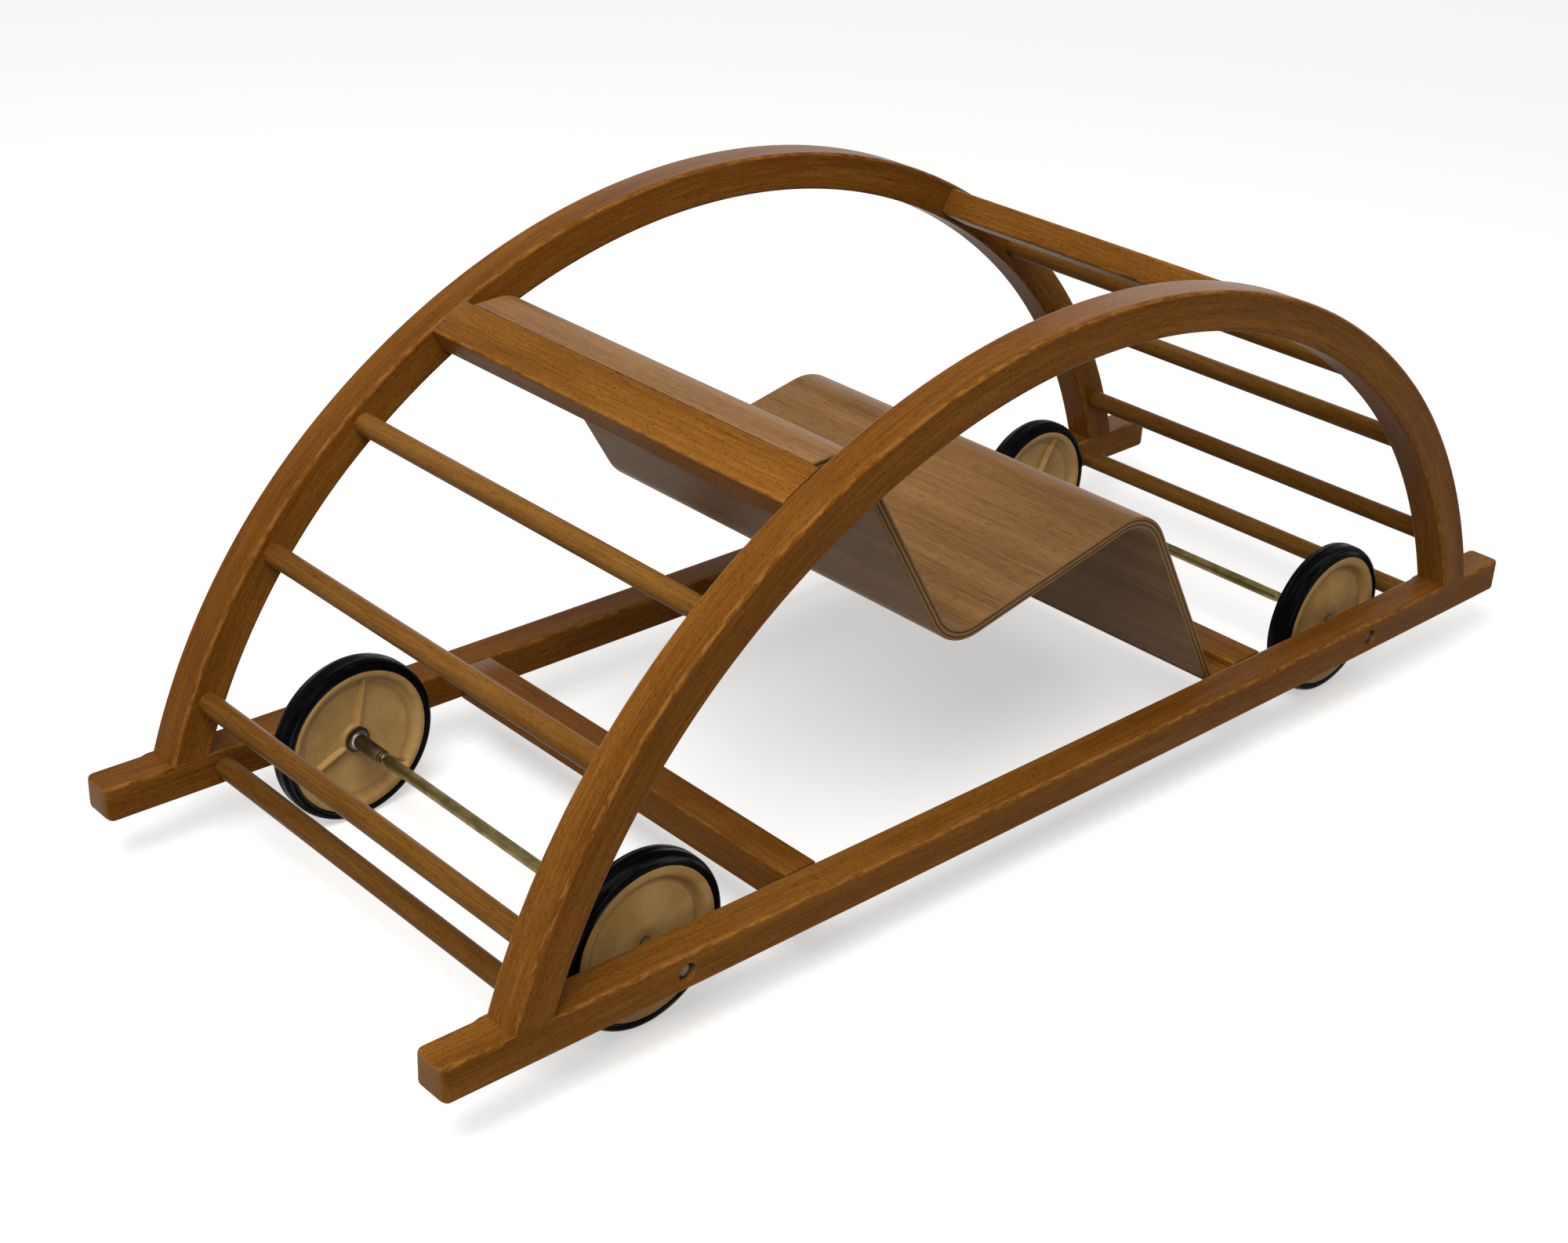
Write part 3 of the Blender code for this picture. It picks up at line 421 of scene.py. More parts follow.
for side, label in ((1, "left"), (-1, "right")):
    rings = np.empty((len(rail_x), len(rail_section), 3))
    rings[:, :, 0] = rail_x[:, None]
    rings[:, :, 1] = side * rail_y + across
    rings[:, :, 2] = rail_middle(rail_x)[:, None] + through
    rail = add_piece("slat_rail_" + label, skin(rings), rail_finish, "frame", "rail_" + label,
                     wood_layers(rail_x, rail_section, rail_edge, side))
    bore_rail(rail, side)


# The arches: beech steamed and bent to a wide crown and two tighter shoulders, cut off flat on
# the rails and glued and dowelled there.
arch_depth = 0.0264
crown_radius = 0.4973
crown_z = arch_top - crown_radius
crown_turn = math.radians(40.3)
shoulder_radius = 0.4248
shoulder_x = (crown_radius - shoulder_radius) * math.sin(crown_turn)
shoulder_z = crown_z + (crown_radius - shoulder_radius) * math.cos(crown_turn)
shoulder_turn = math.radians(71.7)


def arch_line(turn):
    """Middle line of the arch at an angle from the top: two circles that meet at crown_turn."""
    steep = np.abs(turn) > crown_turn
    radius = np.where(steep, shoulder_radius, crown_radius) - arch_depth / 2
    x = np.where(steep, np.sign(turn) * shoulder_x, 0) + radius * np.sin(turn)
    z = np.where(steep, shoulder_z, crown_z) + radius * np.cos(turn)
    return np.stack([x, z], -1)


def rail_top(x, at):
    """Height of the rail's top face near a place, taken as its tangent there."""
    return rail_middle(at) + rail_height / 2 + glue_gap + (x - at) * at / rail_bend


last_arc = math.radians(4)
leg_start = shoulder_turn - last_arc
middle_radius = shoulder_radius - arch_depth / 2
arc_left = last_arc * middle_radius
arch_turn = np.linspace(-leg_start, leg_start, 153)
arch_middle = arch_line(arch_turn)
arch_out = np.stack([np.sin(arch_turn), np.cos(arch_turn)], -1)
arch_section, arch_edge = slat_section(slat_width, arch_depth, edge_radius)
leg_steps = np.linspace(0, 1, 9)[1:, None]


def arch_leg(end, side):
    """Rings of a leg, and how far along the slat each point lies from the leg's start.

    Every point follows the arc to shoulder_turn and then its tangent, as far as the rail's top:
    the way left there is the height above the rail over the fall of the tangent.
    """
    way = np.array([end * math.cos(shoulder_turn), -math.sin(shoulder_turn)])
    last = arch_line(np.array(end * shoulder_turn))
    depth = arch_section[:, 1]
    x = last[0] + end * math.sin(shoulder_turn) * depth
    z = last[1] + math.cos(shoulder_turn) * depth
    at = end * foot_x
    way_left = (rail_top(x, at) - z) / (way[1] - way[0] * at / rail_bend)
    gone = leg_steps * (arc_left + way_left)
    turn = end * (leg_start + np.minimum(gone, arc_left) / middle_radius)
    straight_on = np.maximum(gone - arc_left, 0)
    middle = arch_line(turn)
    leg = np.empty(gone.shape + (3,))
    leg[:, :, 0] = middle[:, :, 0] + np.sin(turn) * depth + straight_on * way[0]
    leg[:, :, 1] = side * rail_y + arch_section[:, 0]
    leg[:, :, 2] = middle[:, :, 1] + np.cos(turn) * depth + straight_on * way[1]
    return leg, gone


for side, label in ((1, "left"), (-1, "right")):
    rings = np.empty((len(arch_turn), len(arch_section), 3))
    rings[:, :, 0] = arch_middle[:, 0, None] + arch_out[:, 0, None] * arch_section[:, 1]
    rings[:, :, 1] = side * rail_y + arch_section[:, 0]
    rings[:, :, 2] = arch_middle[:, 1, None] + arch_out[:, 1, None] * arch_section[:, 1]
    rear_leg, rear_gone = arch_leg(-1, side)
    front_leg, front_gone = arch_leg(1, side)
    run = np.concatenate([[0], np.cumsum(np.linalg.norm(np.diff(arch_middle, axis=0), axis=1))])
    run = np.repeat(run[:, None], len(arch_section), 1)
    along = np.concatenate([-rear_gone[::-1], run, run[-1] + front_gone])
    rings = np.concatenate([rear_leg[::-1], rings, front_leg])
    add_piece("bent_arch_" + label, skin(rings), slat_finish, "frame", "arch_" + label,
              wood_layers(along, arch_section, arch_edge, 3 + side))


# The rungs: turned beech sticks, four at each end of the cart, glued into blind holes in the
# rails and up the arches.
rung_radius = 0.0072
rung_reach = 0.17995
rung_finish = beech_finish("turned_beech", (0.235, 0.108, 0.0230), (0.165, 0.069, 0.0110),
                           (0.105, 0.039, 0.0050), flecks=0.5)
low_rung_x = axle_x + 0.085
rung_places = ((low_rung_x, rail_middle(low_rung_x)),
               *arch_line(np.radians([38.4, 51.9, 66.2])))
rung_turn = np.linspace(0, 2 * np.pi, 32, endpoint=False)
rung_along = np.linspace(-rung_reach, rung_reach, 25)
rung_section = rung_radius * np.stack([np.cos(rung_turn), np.sin(rung_turn)], -1)
for end, label in ((1, "front"), (-1, "rear")):
    for number, (x, z) in enumerate(rung_places, 1):
        rings = np.empty((len(rung_along), len(rung_turn), 3))
        rings[:, :, 0] = end * x + rung_section[:, 0]
        rings[:, :, 1] = rung_along[:, None]
        rings[:, :, 2] = z + rung_section[:, 1]
        add_piece(f"turned_rung_{label}_{number}", skin(rings), rung_finish, "frame",
                  f"rung_{label}_{number}",
                  wood_layers(rung_along, rung_section, np.zeros(len(rung_turn)),
                              10 * number + end))


# The cross pieces: the board lies flush with the arches and the handle a little below them,
# the other two between the rails. All four are planed beech, dowelled at both ends.
ply_thickness = 0.008
lip_slope = 3.5
ledge_z = 0.062607
bar_reach = inner_y - glue_gap
end_ease = 0.0008
end_shrink = 0.0005
bar_along = np.concatenate([[-bar_reach], np.linspace(-1, 1, 15) * (bar_reach - end_ease),
                            [bar_reach]])
bar_shrink = np.concatenate([[end_shrink], np.zeros(15), [end_shrink]])


def way_at(slope):
    """Unit step along a slope given in degrees, in the cart's side view."""
    return np.array([np.cos(np.radians(slope)), np.sin(np.radians(slope))])


def chord(slope, radius, width):
    """Both ends of a flat face that spans a circle about the crown's centre, and the way out.

    The way out is square to the slope. The face's middle lies along it at the root of radius
    squared less half the width squared, and its ends half the width to either side.
    """
    way = way_at(slope)
    out = np.array([-way[1], way[0]])
    middle = np.array([0, crown_z]) + out * np.sqrt(radius ** 2 - width ** 2 / 4)
    return middle - way * width / 2, middle + way * width / 2, out


board_depth = 0.0185
board_rear, board_front, board_out = chord(28.2715, crown_radius, 0.030)
lip_way = way_at(lip_slope)
lip_out = np.array([-lip_way[1], lip_way[0]])
notch_rear = board_front - lip_out * (ply_thickness + glue_gap)
notch_front = notch_rear + lip_way * 0.012
wood_left = board_depth - (board_rear - notch_front) @ board_out
handle_depth = 0.020
handle_rear, handle_front, handle_out = chord(-28.8286, crown_radius - 0.003, 0.030)
rear_bar_x = 0.1111 - axle_x
rear_bar_half = 0.0125
rear_bar_top, rear_bar_low = rail_middle(rear_bar_x) + rail_height * np.array([0.5, -0.5])
front_bar_x = axle_x - 0.1008
step_x = front_bar_x - 0.0293
ledge_x = step_x - 0.025
ledge_lip = 0.0015
front_bar_top, front_bar_low = rail_middle(step_x) + rail_height * np.array([0.5, -0.5])
bars = {
    "backrest_board": ((board_rear, board_front, notch_rear, notch_front,
                        notch_front - board_out * wood_left, board_rear - board_out * board_depth),
                       (0.0022, 0.0008, 0.0006, 0.0008, 0.0015, 0.0022)),
    "handle_bar": ((handle_rear, handle_front, handle_front - handle_out * handle_depth,
                    handle_rear - handle_out * handle_depth), (0.0022, 0.0022, 0.0035, 0.0035)),
    "rear_crossbar": (((rear_bar_x - rear_bar_half, rear_bar_top),
                       (rear_bar_x + rear_bar_half, rear_bar_top),
                       (rear_bar_x + rear_bar_half, rear_bar_low),
                       (rear_bar_x - rear_bar_half, rear_bar_low)), 0.0018),
    "front_crossbar": (((front_bar_x, front_bar_top), (front_bar_x, front_bar_low),
                        (step_x, front_bar_low), (ledge_x, ledge_z - ledge_lip),
                        (ledge_x, ledge_z), (step_x, ledge_z), (step_x, front_bar_top)),
                       (0.0018, 0.0018, 0.0012, 0.0004, 0.0004, 0.0004, 0.0018)),
}
for seed, (name, (corners, radii)) in enumerate(bars.items(), 21):
    outline, nearness = eased_outline(corners, radii)
    middle = outline.mean(0)
    towards = (middle - outline) / np.linalg.norm(middle - outline, axis=1, keepdims=True)
    rings = np.empty((len(bar_along), len(outline), 3))
    shrunk = outline[None] + bar_shrink[:, None, None] * towards[None]
    rings[:, :, 0] = shrunk[:, :, 0]
    rings[:, :, 1] = bar_along[:, None]
    rings[:, :, 2] = shrunk[:, :, 1]
    add_piece("planed_" + name, skin(rings), slat_finish, "frame", name,
              wood_layers(bar_along, outline - middle, nearness, seed))


# The seat: one sheet of plywood, moulded over three bends into backrest, seat and flap. Its
# plies show as dark and light lines on the sawn edges; the face veneer runs across the cart.
seat_half_width = 0.1563
seat_aside = -0.0017
seat_start = (board_front + lip_way * glue_gap)[None]


def bend(start, slope, turn, radius, steps):
    """Arc that leaves a point at a slope and turns by an angle, positive to the left: the centre
    lies square to the slope at the radius, and the start point is turned about it."""
    hand = np.sign(turn)
    slope, turn = np.radians(slope), np.radians(turn)
    centre = start + radius * hand * np.array([-np.sin(slope), np.cos(slope)])
    angle = np.linspace(0, turn, steps + 1)[1:]
    arm = start - centre
    return centre + np.stack([arm[0] * np.cos(angle) - arm[1] * np.sin(angle),
                              arm[0] * np.sin(angle) + arm[1] * np.cos(angle)], -1)


def straight(start, slope, length, steps):
    """Points on a straight run from a point at a slope."""
    return start + np.linspace(0, length, steps + 1)[1:, None] * way_at(slope)


line = [seat_start]
slope = lip_slope
for length, length_steps, turn, radius, turn_steps in (
        (0.0188, 4, -61.9, 0.026, 24), (0.1428, 12, 70.7, 0.030, 26),
        (0.13692, 12, -72.1, 0.042, 30)):
    line.append(straight(line[-1][-1], slope, length, length_steps))
    line.append(bend(line[-1][-1], slope, turn, radius, turn_steps))
    slope += turn
line = np.concatenate(line)
heading = np.gradient(line, axis=0)
heading /= np.linalg.norm(heading, axis=1, keepdims=True)
seat_out = np.stack([-heading[:, 1], heading[:, 0]], -1)
seat_out[0] = lip_out
flap_way = way_at(slope)
seat_out[-1] = (-flap_way[1], flap_way[0])
seat_section = slat_section(2 * seat_half_width, ply_thickness, 0.0009, 4)[0]
seat_depth = seat_section[:, 1] - ply_thickness / 2
rings = np.empty((len(line), len(seat_section), 3))
rings[:, :, 0] = line[:, 0, None] + seat_out[:, 0, None] * seat_depth
rings[:, :, 1] = seat_section[None, :, 0] + seat_aside
rings[:, :, 2] = line[:, 1, None] + seat_out[:, 1, None] * seat_depth
drop = (ledge_z + glue_gap - rings[-1, :, 2]) / flap_way[1]
flap_steps = np.linspace(0, 1, 13)[1:, None]
flap = np.empty((len(flap_steps), len(seat_section), 3))
flap[:, :, 0] = rings[-1, :, 0] + flap_steps * drop * flap_way[0]
flap[:, :, 1] = rings[-1, :, 1]
flap[:, :, 2] = rings[-1, :, 2] + flap_steps * drop * flap_way[1]
rings = np.concatenate([rings, flap])
run = np.concatenate([[0], np.cumsum(np.linalg.norm(
    np.diff(rings[:, 0, ::2], axis=0), axis=1))])
sheet = np.empty((len(rings), len(seat_section), 3))
sheet[:, :, 0] = seat_section[None, :, 0]
sheet[:, :, 1] = run[:, None]
sheet[:, :, 2] = seat_section[None, :, 1]


def plywood_finish():
    """Moulded plywood: the face veneer's fine fibres and broad bands, drawn out across the cart,
    and five plies through the thickness, the cross plies dark where their ends are sawn."""
    material, tree, output = new_finish("moulded_plywood")
    place = add_node(tree, "Attribute", attribute_name="plank").outputs["Vector"]
    depth = add_node(tree, "SeparateXYZ", {0: place}).outputs[2]
    bands = drawn_noise(tree, place, (1.3, 40, 3), 4, 0.6)
    fibre = drawn_noise(tree, place, (18, 900, 50), 3, 0.6)
    dashes = drawn_noise(tree, place, (130, 1500, 60), 2)
    face = add_node(tree, "ValToRGB", {0: summed(tree, ((bands, 0.60), (fibre, 0.40)))})
    face.color_ramp.elements[0].position = 0.38
    face.color_ramp.elements[0].color = (0.170, 0.078, 0.0230, 1)
    face.color_ramp.elements[1].position = 0.64
    face.color_ramp.elements[1].color = (0.330, 0.172, 0.064, 1)
    fleck = stretched(tree, dashes, 0.56, 0.68, 0.0, 0.60)
    face = covered(tree, fleck, face.outputs[0], (0.070, 0.027, 0.006))
    share = stretched(tree, depth, -ply_thickness / 2, ply_thickness / 2, 0.0, 1.0)
    plies = add_node(tree, "ValToRGB", {0: share})
    plies.color_ramp.interpolation = "CONSTANT"
    light = (0.250, 0.140, 0.052, 1)
    dark = (0.060, 0.026, 0.008, 1)
    plies.color_ramp.elements[0].color = light
    plies.color_ramp.elements[1].position = 0.24
    plies.color_ramp.elements[1].color = dark
    for position, colour in ((0.38, light), (0.62, dark), (0.76, light)):
        plies.color_ramp.elements.new(position).color = colour
    sawn = stretched(tree, drawn_noise(tree, place, (900, 240, 2400), 2), 0.3, 0.7, 0.7, 1.25)
    plies = add_node(tree, "VectorMath", {0: plies.outputs[0], "Scale": sawn},
                     operation="SCALE").outputs[0]
    across = add_node(tree, "Math", {0: add_node(tree, "SeparateXYZ", {0: place}).outputs[0]},
                      operation="ABSOLUTE").outputs[0]
    on_edge = add_node(tree, "Math", {0: across, 1: seat_half_width - 0.0004},
                       operation="GREATER_THAN").outputs[0]
    coloured = covered(tree, on_edge, face, plies)
    bump = add_node(tree, "Bump", {"Height": fibre, "Strength": 0.3, "Distance": 0.0001})
    shader = add_node(tree, "BsdfPrincipled", {
        "Base Color": coloured, "Normal": bump.outputs[0],
        "Specular IOR Level": varnish_sheen(tree, 0.05, 0.28)})
    shader.inputs["Roughness"].default_value = 0.42
    tree.links.new(shader.outputs[0], output.inputs["Surface"])
    return material


ply_finish = plywood_finish()
add_piece("moulded_seat", skin(rings), ply_finish, "frame", "seat_shell",
          {"plank": with_ends(sheet)})


# The axles: plated steel rods right across the cart. Each wheel runs between a spacer against
# the rail and a sleeve, which two ears pinched out of the rod hold in place.
wheel_y = 0.14705
axle_radius = 0.004


def metal_finish(name, colour, stain, rough, mask=None):
    """Plated steel: one colour, clouded by stains, with drawn lines around it.

    A mask names a layer of the mesh that is 1 where the steel is all stain.
    """
    material, tree, output = new_finish(name)
    place = add_node(tree, "TexCoord").outputs["Object"]
    cloud = drawn_noise(tree, place, (90, 60, 90), 5, 0.65)
    patch = stretched(tree, cloud, 0.42, 0.66, 0.0, 0.85)
    if mask:
        black = add_node(tree, "Attribute", attribute_name=mask).outputs["Fac"]
        patch = add_node(tree, "Math", {0: patch, 1: black}, operation="MAXIMUM").outputs[0]
    coloured = covered(tree, patch, colour, stain)
    dull = stretched(tree, cloud, 0.3, 0.7, rough, rough + 0.22)
    lines = drawn_noise(tree, place, (900, 120, 900), 2)
    bump = add_node(tree, "Bump", {"Height": lines, "Strength": 0.25, "Distance": 0.00005})
    shader = add_node(tree, "BsdfPrincipled", {"Base Color": coloured, "Roughness": dull,
                                               "Normal": bump.outputs[0]})
    shader.inputs["Metallic"].default_value = 1.0
    tree.links.new(shader.outputs[0], output.inputs["Surface"])
    return material


def turned(profile, centre, side, angles=None):
    """Rings of a piece turned about an axis across the cart.

    profile is a line of (radius, outboard distance from the wheel's middle); the grid's first
    axis follows it, the second goes round, and the outboard way is +Y on the left side.
    """
    if angles is None:
        angles = np.linspace(0, 2 * np.pi, 48, endpoint=False)
    rings = np.empty((len(profile), len(angles), 3))
    rings[:, :, 0] = centre[0] + profile[:, 0, None] * np.cos(angles)
    rings[:, :, 1] = centre[1] + side * profile[:, 1, None]
    rings[:, :, 2] = centre[2] + profile[:, 0, None] * np.sin(angles)
    return rings


rod_finish = metal_finish("yellowed_steel", (0.210, 0.160, 0.055), (0.080, 0.055, 0.018), 0.30)
sleeve_finish = metal_finish("browned_steel", (0.150, 0.112, 0.066), (0.050, 0.034, 0.020), 0.32)
bush_finish = metal_finish("blackened_bush", (0.420, 0.390, 0.350), (0.030, 0.020, 0.015), 0.30,
                           mask="blackened")
bright_finish = metal_finish("zinc_plated_steel", (0.520, 0.500, 0.460), (0.200, 0.165, 0.120),
                             0.28)
cap_finish = metal_finish("dulled_steel", (0.130, 0.100, 0.072), (0.035, 0.024, 0.016), 0.45)
ends = {1: "front", -1: "rear"}
sides = {1: "left", -1: "right"}
rod_half = 0.18695
sleeve_end = 0.036
ear_y = wheel_y - sleeve_end - 0.0025
ear_length = 0.0026
ear_reach = 0.0011
ear_squash = 0.28
near_ear = np.linspace(-0.0034, 0.0034, 15)
rod_y = np.unique(np.concatenate([np.linspace(-rod_half, rod_half, 81), ear_y + near_ear,
                                  -ear_y + near_ear]))
rod_turn = np.linspace(0, 2 * np.pi, 40, endpoint=False)
pinch = np.clip(1 - np.abs(np.abs(rod_y) - ear_y) / ear_length, 0, 1)
pinch = pinch * pinch * (3 - 2 * pinch)
flank = np.abs(np.cos(rod_turn)) ** 8
for end in (1, -1):
    rings = np.empty((len(rod_y), len(rod_turn), 3))
    wide = axle_radius + ear_reach * pinch[:, None] * flank
    flat = axle_radius * (1 - ear_squash * pinch[:, None])
    rings[:, :, 0] = end * axle_x + wide * np.cos(rod_turn)
    rings[:, :, 1] = rod_y[:, None]
    rings[:, :, 2] = axle_z + flat * np.sin(rod_turn)
    add_piece("rod_" + ends[end], skin(rings), rod_finish, "frame", "axle_" + ends[end])

sleeve_line = np.array([
    (4.2, -8.3), (4.7, -8.3), (5.0, -8.6), (5.0, -20.0), (5.0, -32.5), (4.7, -33.0),
    (5.0, -33.5), (5.0, -35.4), (4.7, -35.7), (4.2, -35.7)]) / 1000
spacer_line = np.array([
    (4.1, 6.0), (4.3, 6.0), (4.4, 6.2), (4.4, 16.7), (4.3, 16.9), (4.1, 16.9)]) / 1000
cap_line = np.array([
    (0.02, 40.0), (4.3, 40.0), (4.3, 38.0), (4.7, 38.0), (4.7, 39.7), (4.4, 40.1), (3.6, 40.4),
    (2.4, 40.6), (1.0, 40.7), (0.02, 40.7)]) / 1000
for end in (1, -1):
    for side in (1, -1):
        label = f"{ends[end]}_{sides[side]}"
        hub_centre = (end * axle_x, side * wheel_y, axle_z)
        add_piece("tube_sleeve_" + label, skin(turned(sleeve_line, hub_centre, side), True),
                  sleeve_finish, "frame", "sleeve_" + label)
        add_piece("tube_spacer_" + label, skin(turned(spacer_line, hub_centre, side), True),
                  bright_finish, "frame", "spacer_" + label)
        add_piece("cap_" + label, skin(turned(cap_line, hub_centre, side)), cap_finish, "frame",
                  "axle_cap_" + label)


# The wheels: hubs moulded in cream plastic, with three thin ribs in the inboard dish and a
# shallow disc outside, each with a solid rubber tyre pressed over it and a steel bush inside.
def round_off(points, passes):
    """Cut the corners of a line: every stretch gives its points at 1/4 and 3/4, ends kept."""
    for _ in range(passes):
        near = 0.75 * points[:-1] + 0.25 * points[1:]
        far = 0.25 * points[:-1] + 0.75 * points[1:]
        cut = np.stack([near, far], 1).reshape(-1, 2)
        points = np.concatenate([points[:1], cut, points[-1:]])
    return points


def cream_finish():
    """Cream plastic gone yellow, cloudy, with a few dirty specks, and painted shade: browner in
    the groove inside the rim, round the bore and at the tyre's seam.
    """
    material, tree, output = new_finish("cream_plastic")
    place = add_node(tree, "TexCoord").outputs["Object"]
    painted_recess_shade = add_node(tree, "Attribute", attribute_name="painted_recess_shade").outputs["Fac"]
    cloud = add_node(tree, "TexNoise", {"Vector": place, "Scale": 38.0, "Detail": 5.0,
                                        "Roughness": 0.6}).outputs[0]
    mottled = add_node(tree, "ValToRGB", {0: cloud})
    mottled.color_ramp.elements[0].position = 0.34
    mottled.color_ramp.elements[0].color = (0.395, 0.228, 0.070, 1)
    mottled.color_ramp.elements[1].position = 0.66
    mottled.color_ramp.elements[1].color = (0.560, 0.352, 0.130, 1)
    blot = add_node(tree, "TexNoise", {"Vector": place, "Scale": 420.0, "Detail": 2.0}).outputs[0]
    blot = stretched(tree, blot, 0.66, 0.78, 0.0, 0.55)
    # Painted shade in the hub's hollows, taken from the layer, is added to the real dirty specks
    # and browns them together.
    recess_shade_and_specks = add_node(tree, "Math", {0: cloud, 1: painted_recess_shade}, operation="MULTIPLY").outputs[0]
    recess_shade_and_specks = add_node(tree, "Math", {0: recess_shade_and_specks, 1: 1.1, 2: blot}, operation="MULTIPLY_ADD",
                    use_clamp=True).outputs[0]
    coloured = covered(tree, recess_shade_and_specks, mottled.outputs[0], (0.170, 0.090, 0.026))
    rough = stretched(tree, cloud, 0.3, 0.7, 0.36, 0.52)
    bump = add_node(tree, "Bump", {"Height": cloud, "Strength": 0.2, "Distance": 0.0003})
    shader = add_node(tree, "BsdfPrincipled", {"Base Color": coloured, "Roughness": rough,
                                               "Normal": bump.outputs[0]})
    shader.inputs["Specular IOR Level"].default_value = 0.14
    tree.links.new(shader.outputs[0], output.inputs["Surface"])
    return material


def rubber_finish():
    """Black rubber with a bluish bloom, dusty in patches, with fine lines running round it."""
    material, tree, output = new_finish("black_rubber")
    place = add_node(tree, "TexCoord").outputs["Object"]
    around = add_node(tree, "Attribute", attribute_name="around").outputs["Vector"]
    lines = drawn_noise(tree, around, (4, 1500, 1500), 2)
    dust = add_node(tree, "TexNoise", {"Vector": place, "Scale": 60.0, "Detail": 6.0,
                                       "Roughness": 0.7}).outputs[0]
    dust = stretched(tree, dust, 0.45, 0.75, 0.0, 0.7)
    coloured = covered(tree, dust, (0.0016, 0.0017, 0.0024), (0.0050, 0.0056, 0.0085))
    rough = stretched(tree, lines, 0.3, 0.7, 0.20, 0.42)
    bump = add_node(tree, "Bump", {"Height": lines, "Strength": 0.4, "Distance": 0.0001})
    streaks = drawn_noise(tree, around, (1.5, 420, 420), 3)
    shine = stretched(tree, streaks, 0.54, 0.66, 0.015, 0.16)
    shader = add_node(tree, "BsdfPrincipled", {
        "Base Color": coloured, "Roughness": rough, "Normal": bump.outputs[0],
        "Specular IOR Level": shine})
    tree.links.new(shader.outputs[0], output.inputs["Surface"])
    return material


hub_finish = cream_finish()
tyre_finish = rubber_finish()
outboard_line = np.array([
    (6.2, 3.4), (4.3, 3.4), (4.2, 3.6), (4.2, 5.4), (4.5, 5.66), (12.0, 5.58), (20.0, 5.37),
    (28.0, 5.05), (35.0, 4.69), (38.1, 4.5), (39.2, 3.8), (40.1, 3.6), (41.2, 4.1), (42.2, 5.6),
    (43.6, 7.9), (45.2, 8.8), (48.4, 9.0), (50.0, 8.9), (50.5, 8.4)]) / 1000
inboard_line = np.array([
    (50.5, -8.4), (50.0, -8.9), (48.2, -9.0), (46.4, -8.5), (45.0, -6.8), (43.4, -5.0),
    (40.5, -3.9), (36.0, -3.1), (30.0, -2.5), (22.0, -2.2), (12.4, -2.2), (11.0, -2.7),
    (10.5, -4.2), (9.8, -4.5), (6.6, -4.5), (6.2, -4.2)]) / 1000
outboard = round_off(outboard_line, 2)
inboard = round_off(inboard_line, 3)
channel = np.array([(50.5, 8.2), (47.2, 5.4), (47.2, -5.4), (50.5, -8.2)]) / 1000
hub_line = np.concatenate([outboard, channel, inboard])
rib_aside = np.radians([0, 0.5, 0.8, 1.0, 1.2, 1.4, 1.6, 1.9, 2.3, 2.8, 3.4, 4.0, 4.7, 5.5,
                        6.5, 8.0, 10.0])
rib_near = np.concatenate([-rib_aside[:0:-1], rib_aside])
open_field = np.radians(np.linspace(12.5, 107.5, 28))
third = np.concatenate([rib_near, open_field])
hub_turn = np.concatenate([np.radians(120 * k) + third for k in range(3)])
first_rib = {"rear_left": 82, "front_left": 64, "rear_right": 90, "front_right": 100}
rib_half = 0.0017
rib_flank = 0.0010
rib_crest = -0.0058
rib_slope = 0.0012 / 0.034
rib_start = 0.0105
boss_radius = 0.0100
rim_radius = 0.0475


def add_ribs(rings, line, angles, first, side):
    """Raise three ribs out of the dish.

    On the inboard points between boss and rim, the surface moves inboard to the rib's crest,
    faded by a smooth step of the sideways distance from the rib's middle, radius times the
    sine of the angle between them.
    """
    radius, depth = line[:, 0, None], line[:, 1, None]
    off = [angles - first - np.radians(120 * k) for k in range(3)]
    aside = np.min([radius * np.abs(np.sin(turn)) + (np.cos(turn) < 0) for turn in off], axis=0)
    fade = np.clip((rib_half - aside) / rib_flank, 0, 1)
    fade = fade * fade * (3 - 2 * fade)
    crest = rib_crest - rib_slope * (radius - rib_start)
    inboard_side = (np.arange(len(line)) >= len(outboard) + len(channel))[:, None]
    ribbed = inboard_side & (radius > boss_radius) & (radius < rim_radius)
    rise = np.where(ribbed, np.maximum(depth - crest, 0), 0)
    rings[:, :, 1] -= side * rise * fade
    return rings


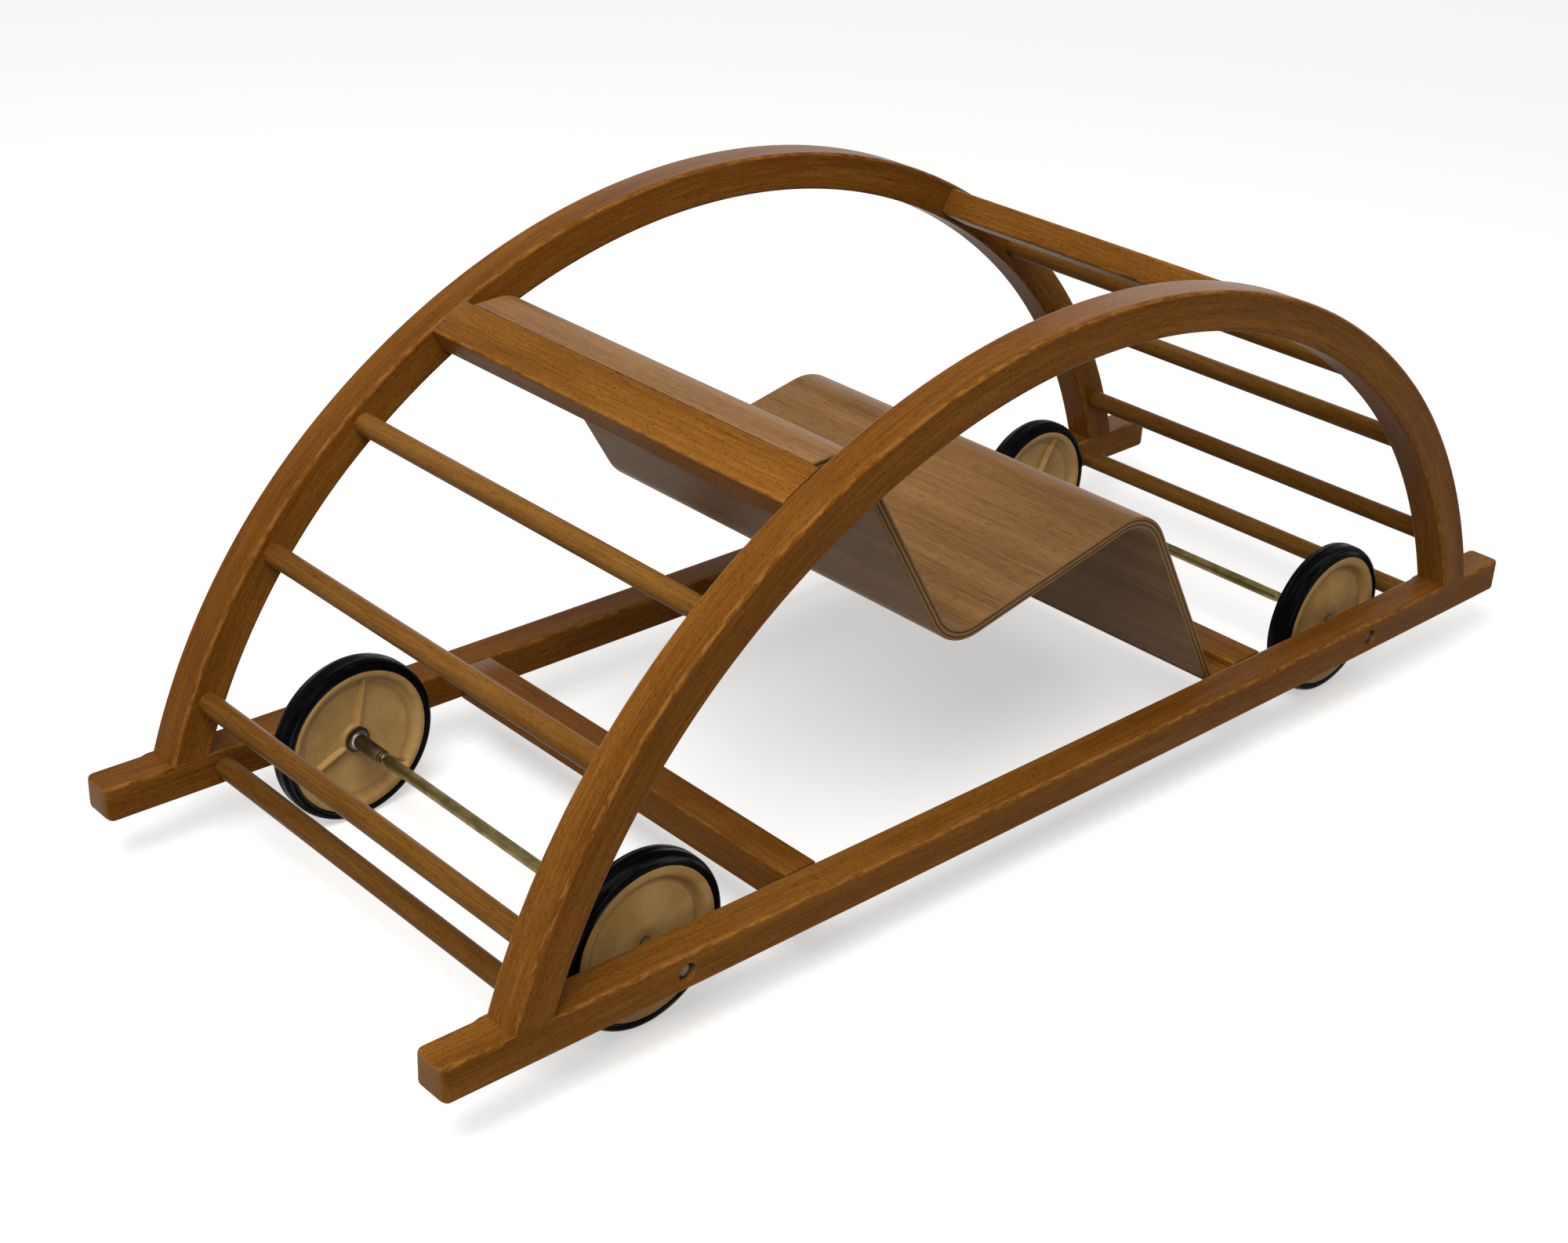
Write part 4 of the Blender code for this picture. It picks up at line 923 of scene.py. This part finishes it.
tyre_half = np.array([
    (50.8, 9.0), (52.4, 9.0), (54.2, 8.7), (55.6, 8.0), (56.3, 7.2), (56.6, 6.4), (56.5, 6.0),
    (56.9, 5.7), (57.2, 4.8), (57.5, 3.4), (57.5, 1.6), (57.5, 0.5), (57.35, 0.3)]) / 1000
tyre_line = np.concatenate([tyre_half, tyre_half[::-1] * (1, -1)])
tyre_inside = np.array([(50.8, -8.8), (47.5, -5.4), (47.5, 5.4), (50.8, 8.8)]) / 1000
tyre_ring = np.concatenate([round_off(tyre_line, 2), tyre_inside])
bush_line = np.array([
    (5.9, 3.1), (5.9, -4.8), (8.6, -4.8), (9.0, -5.1), (8.9, -5.6), (8.4, -6.0), (7.0, -6.1),
    (6.1, -6.2), (5.8, -7.2), (5.2, -7.8), (4.6, -8.0), (4.3, -7.9), (4.3, 3.1)]) / 1000
tyre_turn = np.linspace(0, 2 * np.pi, 128, endpoint=False)
# Painted shade: a share of brown by radius, heaviest in the groove inside the rim, round the bore
# and at the seam with the tyre.
painted_recess_shade = np.interp(hub_line[:, 0], [0.006, 0.009, 0.012, 0.038, 0.0401, 0.0425, 0.046, 0.05],
                  [0.9, 0.6, 0.1, 0.05, 0.75, 0.35, 0.0, 0.2])
blackened = np.clip((bush_line[:, 0] - 0.0056) / 0.0008, 0, 1)
for end in (1, -1):
    for side in (1, -1):
        label = f"{ends[end]}_{sides[side]}"
        body = "wheel_" + label
        hub_centre = (end * axle_x, side * wheel_y, axle_z)
        first = math.radians(first_rib[label])
        rings = turned(hub_line, hub_centre, side, angles=hub_turn + first)
        rings = add_ribs(rings, hub_line, hub_turn + first, first, side)
        add_piece("moulded_hub_" + label, skin(rings, True), hub_finish, body, "hub_" + label,
                  {"painted_recess_shade": np.repeat(painted_recess_shade, len(hub_turn))})
        rings = turned(tyre_ring, hub_centre, side, angles=tyre_turn)
        around = np.empty(rings.shape)
        around[:, :, 0] = np.cos(tyre_turn)
        around[:, :, 1] = tyre_ring[:, 0, None]
        around[:, :, 2] = tyre_ring[:, 1, None]
        add_piece("rubber_tyre_" + label, skin(rings, True), tyre_finish, body,
                  "tyre_" + label, {"around": around.reshape(-1, 3)})
        rings = turned(bush_line, hub_centre, side)
        add_piece("steel_bush_" + label, skin(rings, True), bush_finish, body,
                  "bush_" + label, {"blackened": np.repeat(blackened, rings.shape[1])})


# The dowels: beech pegs glued into the arches' feet and both ends of each cross piece. They
# are closed from view, so the model's own solids stay and only take a finish.
peg_finish = beech_finish("peg_beech", (0.300, 0.150, 0.050), (0.220, 0.100, 0.027),
                          (0.155, 0.064, 0.014))
for name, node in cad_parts.items():
    if name.startswith("dowel_"):
        node.data.materials.clear()
        node.data.materials.append(peg_finish)
